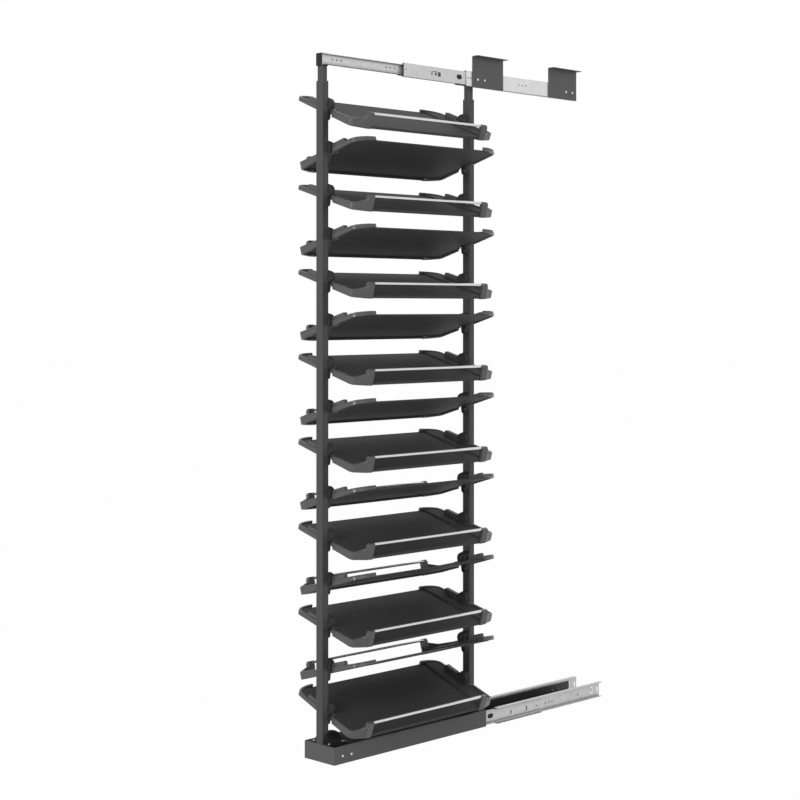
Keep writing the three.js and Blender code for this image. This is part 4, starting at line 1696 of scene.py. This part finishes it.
@dataclass
class Tray:
    """The tray's pieces, built once in its own frame and then set fifteen times."""

    wardrobe: Wardrobe
    box: Span
    rail_box: Span
    corner: Point = (65, 30)
    low_corner: float = 16
    low_slant: float = 11
    corner_steps: int = 12
    plate_reach: float = 54
    plate_top: float = -10.5
    plate_edge: float = 8
    plate_inset: float = 2
    ledge: float = 4.2
    notch: Point = (36, 9)
    arm: float = 67
    wall: float = 7
    low_wall: Point = (-26, -3)
    high_wall: Point = (-20.5, -9)
    sweep: float = 11
    pan_top: float = -17.5
    pan_sheet: float = 1.6
    pan_bend: float = 2.4
    lips: Point = (-25, -22)
    recess_half: float = 26
    recess_depth: float = 12.1
    horn_length: float = 22
    horn_depth: float = 12
    rail_hole: float = 4.35
    rail_seat: float = 8.5
    undercut: Point = (9, 14)
    grip: Point = (26, 74)
    grip_reach: float = 17
    grip_top: float = 3
    grip_fall: float = 3
    grip_ribs: int = 7
    rib_depth: float = 1.1
    wheel_radius: float = 18
    wheel_thickness: float = 9
    wheel_dish: Point = (6, 14.5)
    dish_depth: float = 0.9
    pin_radius: float = 4.2
    pin_end: float = 2.4

    def __post_init__(self) -> None:
        """Works out the places that follow from the tray's box."""
        self.half = max(self.box.x1, -self.box.x0)
        self.low = -self.box.y0
        self.high = self.box.y1
        self.arm_end = self.half - self.arm
        self.hub_face = self.half - self.recess_depth

    def edge_path(self, inset: float) -> Outline:
        """Half of the tray's plan at its +x end, from the low side to the high side.

        Args:
            inset: How far the path is drawn in from the outside.

        Returns:
            The path's points.
        """
        side, tight, notch = self.half - inset, self.low_corner, self.notch[0]
        recess = self.recess_half + inset
        middle = (self.half - tight, tight + self.low_slant - self.low)
        slant = math.degrees(math.atan2(self.low_slant, self.arm - tight))
        high_middle = (self.half - self.corner[0], self.high - self.corner[1])
        high_radius = (self.corner[0] - inset, self.corner[1] - inset)
        return [
            (self.arm_end, inset - self.low),
            (self.arm_end + self.horn_length, inset - self.low + self.low_slant * 0.25),
            *arc(middle, (tight - inset, tight - inset), -90 + slant, 0, self.corner_steps),
            (side, 0.5 * (middle[1] - self.recess_half)),
            (side, -notch - 1),
            (side, -notch + 1),
            (side, -recess),
            (self.hub_face - inset, -recess),
            (self.hub_face - inset, recess),
            (side, recess),
            *arc(high_middle, high_radius, 0, 90, self.corner_steps),
            (self.arm_end, self.high - inset),
        ]

    def wall_heights(self, x: float, y: float) -> Point:
        """Gives the moulding's bottom and top at a place of its outer edge.

        Args:
            x: The place along the tray.
            y: The place across it.

        Returns:
            The bottom and the top.
        """
        share = (y + self.low) / (self.low + self.high)
        bottom, top = (low + (high - low) * share for low, high in zip(self.low_wall, self.high_wall))
        if y < 0:
            start = self.arm_end + self.horn_length * 0.6
            top += self.sweep * (1 - smooth_share((x - start) / (self.half - start)))
            bottom += self.notch[1] * smooth_share((y + self.notch[0] + 1) / 2)
        return bottom, top

    def moulding(self, end: int) -> Piece:
        """Builds the moulded wall round one end of the tray, with a fine groove under its rim.

        Args:
            end: 1 at the rear end, -1 at the front.

        Returns:
            The moulding.
        """
        outer_face = ((0, -4.6), (0.1, -4.3), (0.1, -3.7), (0, -3.4), (0, -1.1), (0.1, -0.3), (0.3, 0))
        inner_face = ((0.7, 0), (0.9, -0.3), (1, -1.1))
        rings: list[list[Vector]] = []
        for outer, inner in zip(self.edge_path(0), self.edge_path(self.wall)):
            bottom, top = self.wall_heights(*outer)
            across = [(0.22, bottom), (0, bottom + 0.9)]
            across += [(share, top + drop) for share, drop in outer_face + inner_face]
            across += [(1, bottom + 0.9), (0.78, bottom)]
            start, span = Vector(outer), Vector(inner) - Vector(outer)
            spots = [(start + span * share, z) for share, z in across]
            rings.append([Vector((end * spot.x, spot.y, z)) for spot, z in spots])
        return shade(skin(f"tray_{'rear' if end > 0 else 'front'}_moulding", rings), 42)

    def end_plate(self, end: int) -> Piece:
        """Builds the raised ledge between the pan and the moulding's wall.

        Args:
            end: 1 at the rear end, -1 at the front.

        Returns:
            The ledge.
        """
        near, far, foot = self.half - self.plate_reach, self.half + 1, self.pan_top - 1.1
        ledge, inset, edge = self.pan_top + self.ledge, self.plate_inset, self.half - self.plate_edge
        slope = [(foot, near), (ledge - 0.5, near), (ledge, near + 0.7), (self.plate_top, edge)]
        slope += [(self.plate_top, far), (foot, far)]
        piece = prism("plate", [(z, end * x) for z, x in slope], -1 - self.low, self.high + 1, Run.Y)
        plan = [*self.edge_path(inset), (near - 9, self.high - inset), (near - 9, inset - self.low)]
        blank = prism("blank", [(end * x, y) for x, y in plan], foot - OVERRUN, OVERRUN, Run.Z)
        return combine(piece, [blank], Join.KEEP)

    def horn(self, end: int) -> Piece:
        """Builds the horn that holds the heel rail's end.

        Args:
            end: 1 at the rear end, -1 at the front.

        Returns:
            The horn.
        """
        bottom, top, low = self.low_wall[0] + 0.6, self.box.z1, -self.low
        start, stop = end * self.arm_end, end * (self.arm_end + self.horn_length)
        outline = filleted(rectangle((low, low + self.horn_depth), (bottom, top)), 2.6, 4)
        piece = soften(prism("horn", outline, start, stop, Run.X), 0.9, 3)
        rail = self.rail_box.middle[1:]
        socket = bar("socket", rail, self.rail_hole, (start - end * 3, start + end * self.rail_seat), Run.X)
        before, past, wide = start - end, stop + end, (low - 2, low + self.horn_depth + 2)
        back, drop = self.undercut
        undercut = [(bottom - 1, before), (bottom - 1, start + end * back), (top - drop, before)]
        notch = [(top - 5, past), (top - 5, stop - end * 2.5), (top + 2, stop - end * 4), (top + 2, past)]
        tools = [socket, prism("undercut", undercut, *wide, Run.Y), prism("notch", notch, *wide, Run.Y)]
        return shade(cut(piece, tools))

    def grip_block(self, end: int) -> Piece:
        """Builds the ribbed finger grip on the high side.

        Args:
            end: 1 at the rear end, -1 at the front.

        Returns:
            The grip.
        """
        start, stop = self.grip
        foot, top, shoulder = self.pan_top - 1, self.grip_top, self.grip_top - self.grip_fall
        valley = top - self.rib_depth
        outline: Outline = [(start, foot), (stop, foot), (stop, shoulder)]
        pitch = (stop - start - 4) / self.grip_ribs
        for rib in range(self.grip_ribs):
            crest = stop - 2 - pitch * rib
            heights = ((0, top), (0.5, top), (0.62, valley), (0.9, valley))
            outline += [(crest - pitch * share, height) for share, height in heights]
        outline.append((start, shoulder))
        near, far = self.half - self.grip_reach, self.half - self.wall / 2
        return soften(prism("grip", outline, end * near, end * far, Run.X), 0.35)

    def wheel(self, end: int) -> Piece:
        """Builds the ribbed wheel that turns in the hub bracket, with its pin.

        Args:
            end: 1 at the rear end, -1 at the front.

        Returns:
            The wheel with its pin.
        """
        face, back = self.hub_face, self.hub_face - self.wheel_thickness
        rim = fluted(self.wheel_radius, 0.5, 30, 0, 348)
        piece = soften(prism("wheel", rim, end * back, end * face, Run.X), 0.4)
        depth = (end * (back - 2), end * (back + self.dish_depth))
        dish = bar("dish", (0, 0), self.wheel_dish[1], depth, Run.X, 41)
        core = bar("core", (0, 0), self.wheel_dish[0], (end * (back - 3), end * (back + 5)), Run.X)
        cut(piece, [cut(dish, [core])])
        ends = (end * (face - 1), end * (self.half - self.pin_end))
        return shade(combine(piece, [bar("pin", (0, 0), self.pin_radius, ends, Run.X, 20)], Join.ADD), 40)

    def end_piece(self, end: int) -> Piece:
        """Joins moulding, horn and grip into the one moulded end piece.

        Args:
            end: 1 at the rear end, -1 at the front.

        Returns:
            The end piece.
        """
        piece = self.moulding(end)
        for part in (self.horn(end), self.grip_block(end)):
            combine(piece, [part], Join.ADD)
        return shade(piece, 38)

    def pan(self) -> Piece:
        """Builds the sheet pan, with its two long edges folded down and a ledge at each end.

        Returns:
            The pan.
        """
        inset = self.wall / 2
        low, high, top = inset - self.low, self.high - inset, self.pan_top
        path = [(low, self.lips[0]), (low, top), (high, top), (high, self.lips[1])]
        section = thickened(filleted(path, self.pan_bend, 4, closed=False), self.pan_sheet)
        sheet = prism("tray_pan", section, 1 - self.half, self.half - 1, Run.X)
        plan = self.edge_path(inset - 0.01)
        plan += [(-x, y) for x, y in reversed(plan)]
        blank = prism("blank", plan, self.lips[0] - OVERRUN, top + OVERRUN, Run.Z)
        combine(sheet, [blank], Join.KEEP)
        for end in (-1, 1):
            combine(sheet, [self.end_plate(end)], Join.ADD)
        return shade(sheet)

    def rail(self) -> Piece:
        """Builds the round heel rail with its chamfered ends."""
        box = self.rail_box
        return soften(bar("heel_rail", box.middle[1:], box.depth / 2, (-box.x1, box.x1), Run.X, 32), 0.5)

    def build(self, places: list[TrayPlace]) -> None:
        """Builds the pieces once and sets them at every tray's place.

        Args:
            places: Where the trays hang.
        """
        patterns = [
            ("pan", Pattern(self.pan), Coat.PAN, "tray"),
            ("front_end", Pattern(partial(self.end_piece, -1)), Coat.MOULDING, ""),
            ("rear_end", Pattern(partial(self.end_piece, 1)), Coat.MOULDING, ""),
            ("front_wheel", Pattern(partial(self.wheel, -1)), Coat.HUB, ""),
            ("rear_wheel", Pattern(partial(self.wheel, 1)), Coat.HUB, ""),
            ("heel_rail_rod", Pattern(self.rail), Coat.RAIL, "heel_rail"),
        ]
        for place in places:
            for label, pattern, coat, node in patterns:
                piece = pattern.set(f"tray_{place.label}_{label}", place.matrix)
                nodes = [f"{node}_{place.label}"] if node else []
                self.wardrobe.dress(piece, coat, f"tray_{place.label}_body", *nodes)


# Studio


@dataclass
class Studio:
    """The floor, the soft lights and the camera."""

    eye: Place = (-3.998, -3.415, 1.231)
    heading: float = -45.2
    lens: float = 76.8
    shift: float = -0.1146
    floor_size: float = 60
    paper: float = 0.9
    glow: float = 0.975
    ambient: float = 0.5
    aim: Place = (-0.5, 0, 1.0)

    def build(self) -> None:
        """Sets up the whole studio, with the key light on the left and a weaker one in front."""
        self.build_floor()
        self.build_world()
        self.lamp("key_light", (-4.9, -1.5, 2.2), 2.2, 135)
        self.lamp("front_light", (-1.0, -5.0, 2.2), 2.6, 29)
        self.build_camera()

    def build_floor(self) -> None:
        """Lays the pale floor, which looks near white and keeps a faint shadow."""
        half = self.floor_size / 2 / METRES
        floor = block("studio_floor", (-half, half), (-half, half), (-20, -0.5))
        paper = Palette("Studio paper", Roughness=0.9)
        paper.feed(paper.shader.inputs["Base Color"], (*grey(self.paper), 1))
        share = paper.math("MULTIPLY", paper.seen_white(), self.glow)
        white = paper.add("Emission", {}).outputs[0]
        mix = paper.add("MixShader", {0: share, 1: paper.shader.outputs[0], 2: white}).outputs[0]
        paper.feed(paper.nodes["Material Output"].inputs["Surface"], mix)
        floor.data.materials.append(paper.material)

    def build_world(self) -> None:
        """Makes a white surround that lights the rack softly."""
        world = bpy.data.worlds.new("Studio")
        world.use_nodes = True
        bpy.context.scene.world = world
        graph = Graph(world.node_tree)
        white = (*grey(1), 1)
        soft = graph.add("Background", {"Color": white, "Strength": self.ambient}).outputs[0]
        backdrop = graph.add("Background", {"Color": white, "Strength": 1}).outputs[0]
        mix = graph.add("MixShader", {0: graph.seen_white(), 1: soft, 2: backdrop}).outputs[0]
        graph.feed(graph.nodes["World Output"].inputs["Surface"], mix)

    def lamp(self, name: str, at: Place, size: float, power: float) -> None:
        """Hangs a soft square lamp that looks at the rack's middle.

        Args:
            name: The lamp's name.
            at: Its place, in metres.
            size: Its side, in metres.
            power: Its power, in watts.
        """
        data = bpy.data.lights.new(name, "AREA")
        data.shape = "SQUARE"
        data.size = size
        data.energy = power
        light = bpy.data.objects.new(name, data)
        light.location = at
        light.rotation_euler = (Vector(self.aim) - light.location).to_track_quat("-Z", "Y").to_euler()
        bpy.context.scene.collection.objects.link(light)

    def build_camera(self) -> None:
        """Sets the camera at the photograph's viewing angle."""
        data = bpy.data.cameras.new("camera")
        data.lens = self.lens
        data.sensor_width = 36
        data.shift_y = self.shift
        data.clip_end = 200
        camera = bpy.data.objects.new("camera", data)
        camera.location = self.eye
        camera.rotation_euler = (math.pi / 2, 0, math.radians(self.heading))
        scene = bpy.context.scene
        scene.collection.objects.link(camera)
        scene.camera = camera
        scene.view_settings.view_transform = "Standard"


def build_slides(wardrobe: Wardrobe) -> float:
    """Builds the three ball slides.

    Args:
        wardrobe: What finishes the pieces.

    Returns:
        The top slide's height.
    """
    # The floor slides take a darker copy of the zinc, which paints shade on them.
    shaded_worn_zinc = Coat.FLOOR_ZINC
    for side, opens in (("near_floor", -1), ("far_floor", 1)):
        middle, cages = f"{side}_middle", (f"{side}_outer_cage", f"{side}_inner_cage")
        bodies = SlideBodies("cabinet_side", middle, "rack", *cages)
        BallSlide(wardrobe, f"{side}_slide", bodies, opens, shaded_worn_zinc, shaded_worn_zinc, True, hole_rise=-3).build()
    bodies = SlideBodies("ceiling_side", "top_middle", "rack_top", "top_outer_cage", "top_inner_cage")
    top = BallSlide(wardrobe, "top_slide", bodies, 1, hole_rise=1.5)
    top.build()
    return top.axis


def main() -> None:
    """Loads the frame, dresses it and sets up the studio."""
    logging.basicConfig(level=logging.INFO, format="%(name)s: %(message)s")
    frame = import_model()
    wardrobe = Wardrobe()
    screws = Screws(wardrobe)
    axis = build_slides(wardrobe)
    FloorChannel(wardrobe, Screws(wardrobe, rise=2.0, coat=Coat.DULL_SCREW)).build()
    CeilingBracket(wardrobe, screws, "ceiling_bracket_front", (0, 1)).build(axis)
    CeilingBracket(wardrobe, screws, "ceiling_bracket_rear", (2, 3)).build(axis)
    BaseHousing(wardrobe, screws).build()
    places = TrayPlace.read(frame["joints"])
    pivots = [place.pivot.z / METRES for place in places]
    hub = HubBracket()
    brackets = Pattern(hub.build)
    for label, outward in (("front", -1), ("rear", 1)):
        Post(wardrobe, screws, label, outward, pivots, hub, brackets).build()
    pattern = places[1]
    Tray(wardrobe, pattern.local_box("tray", frame), pattern.local_box("heel_rail", frame)).build(places)
    Studio().build()


if __name__ == "__main__":
    main()
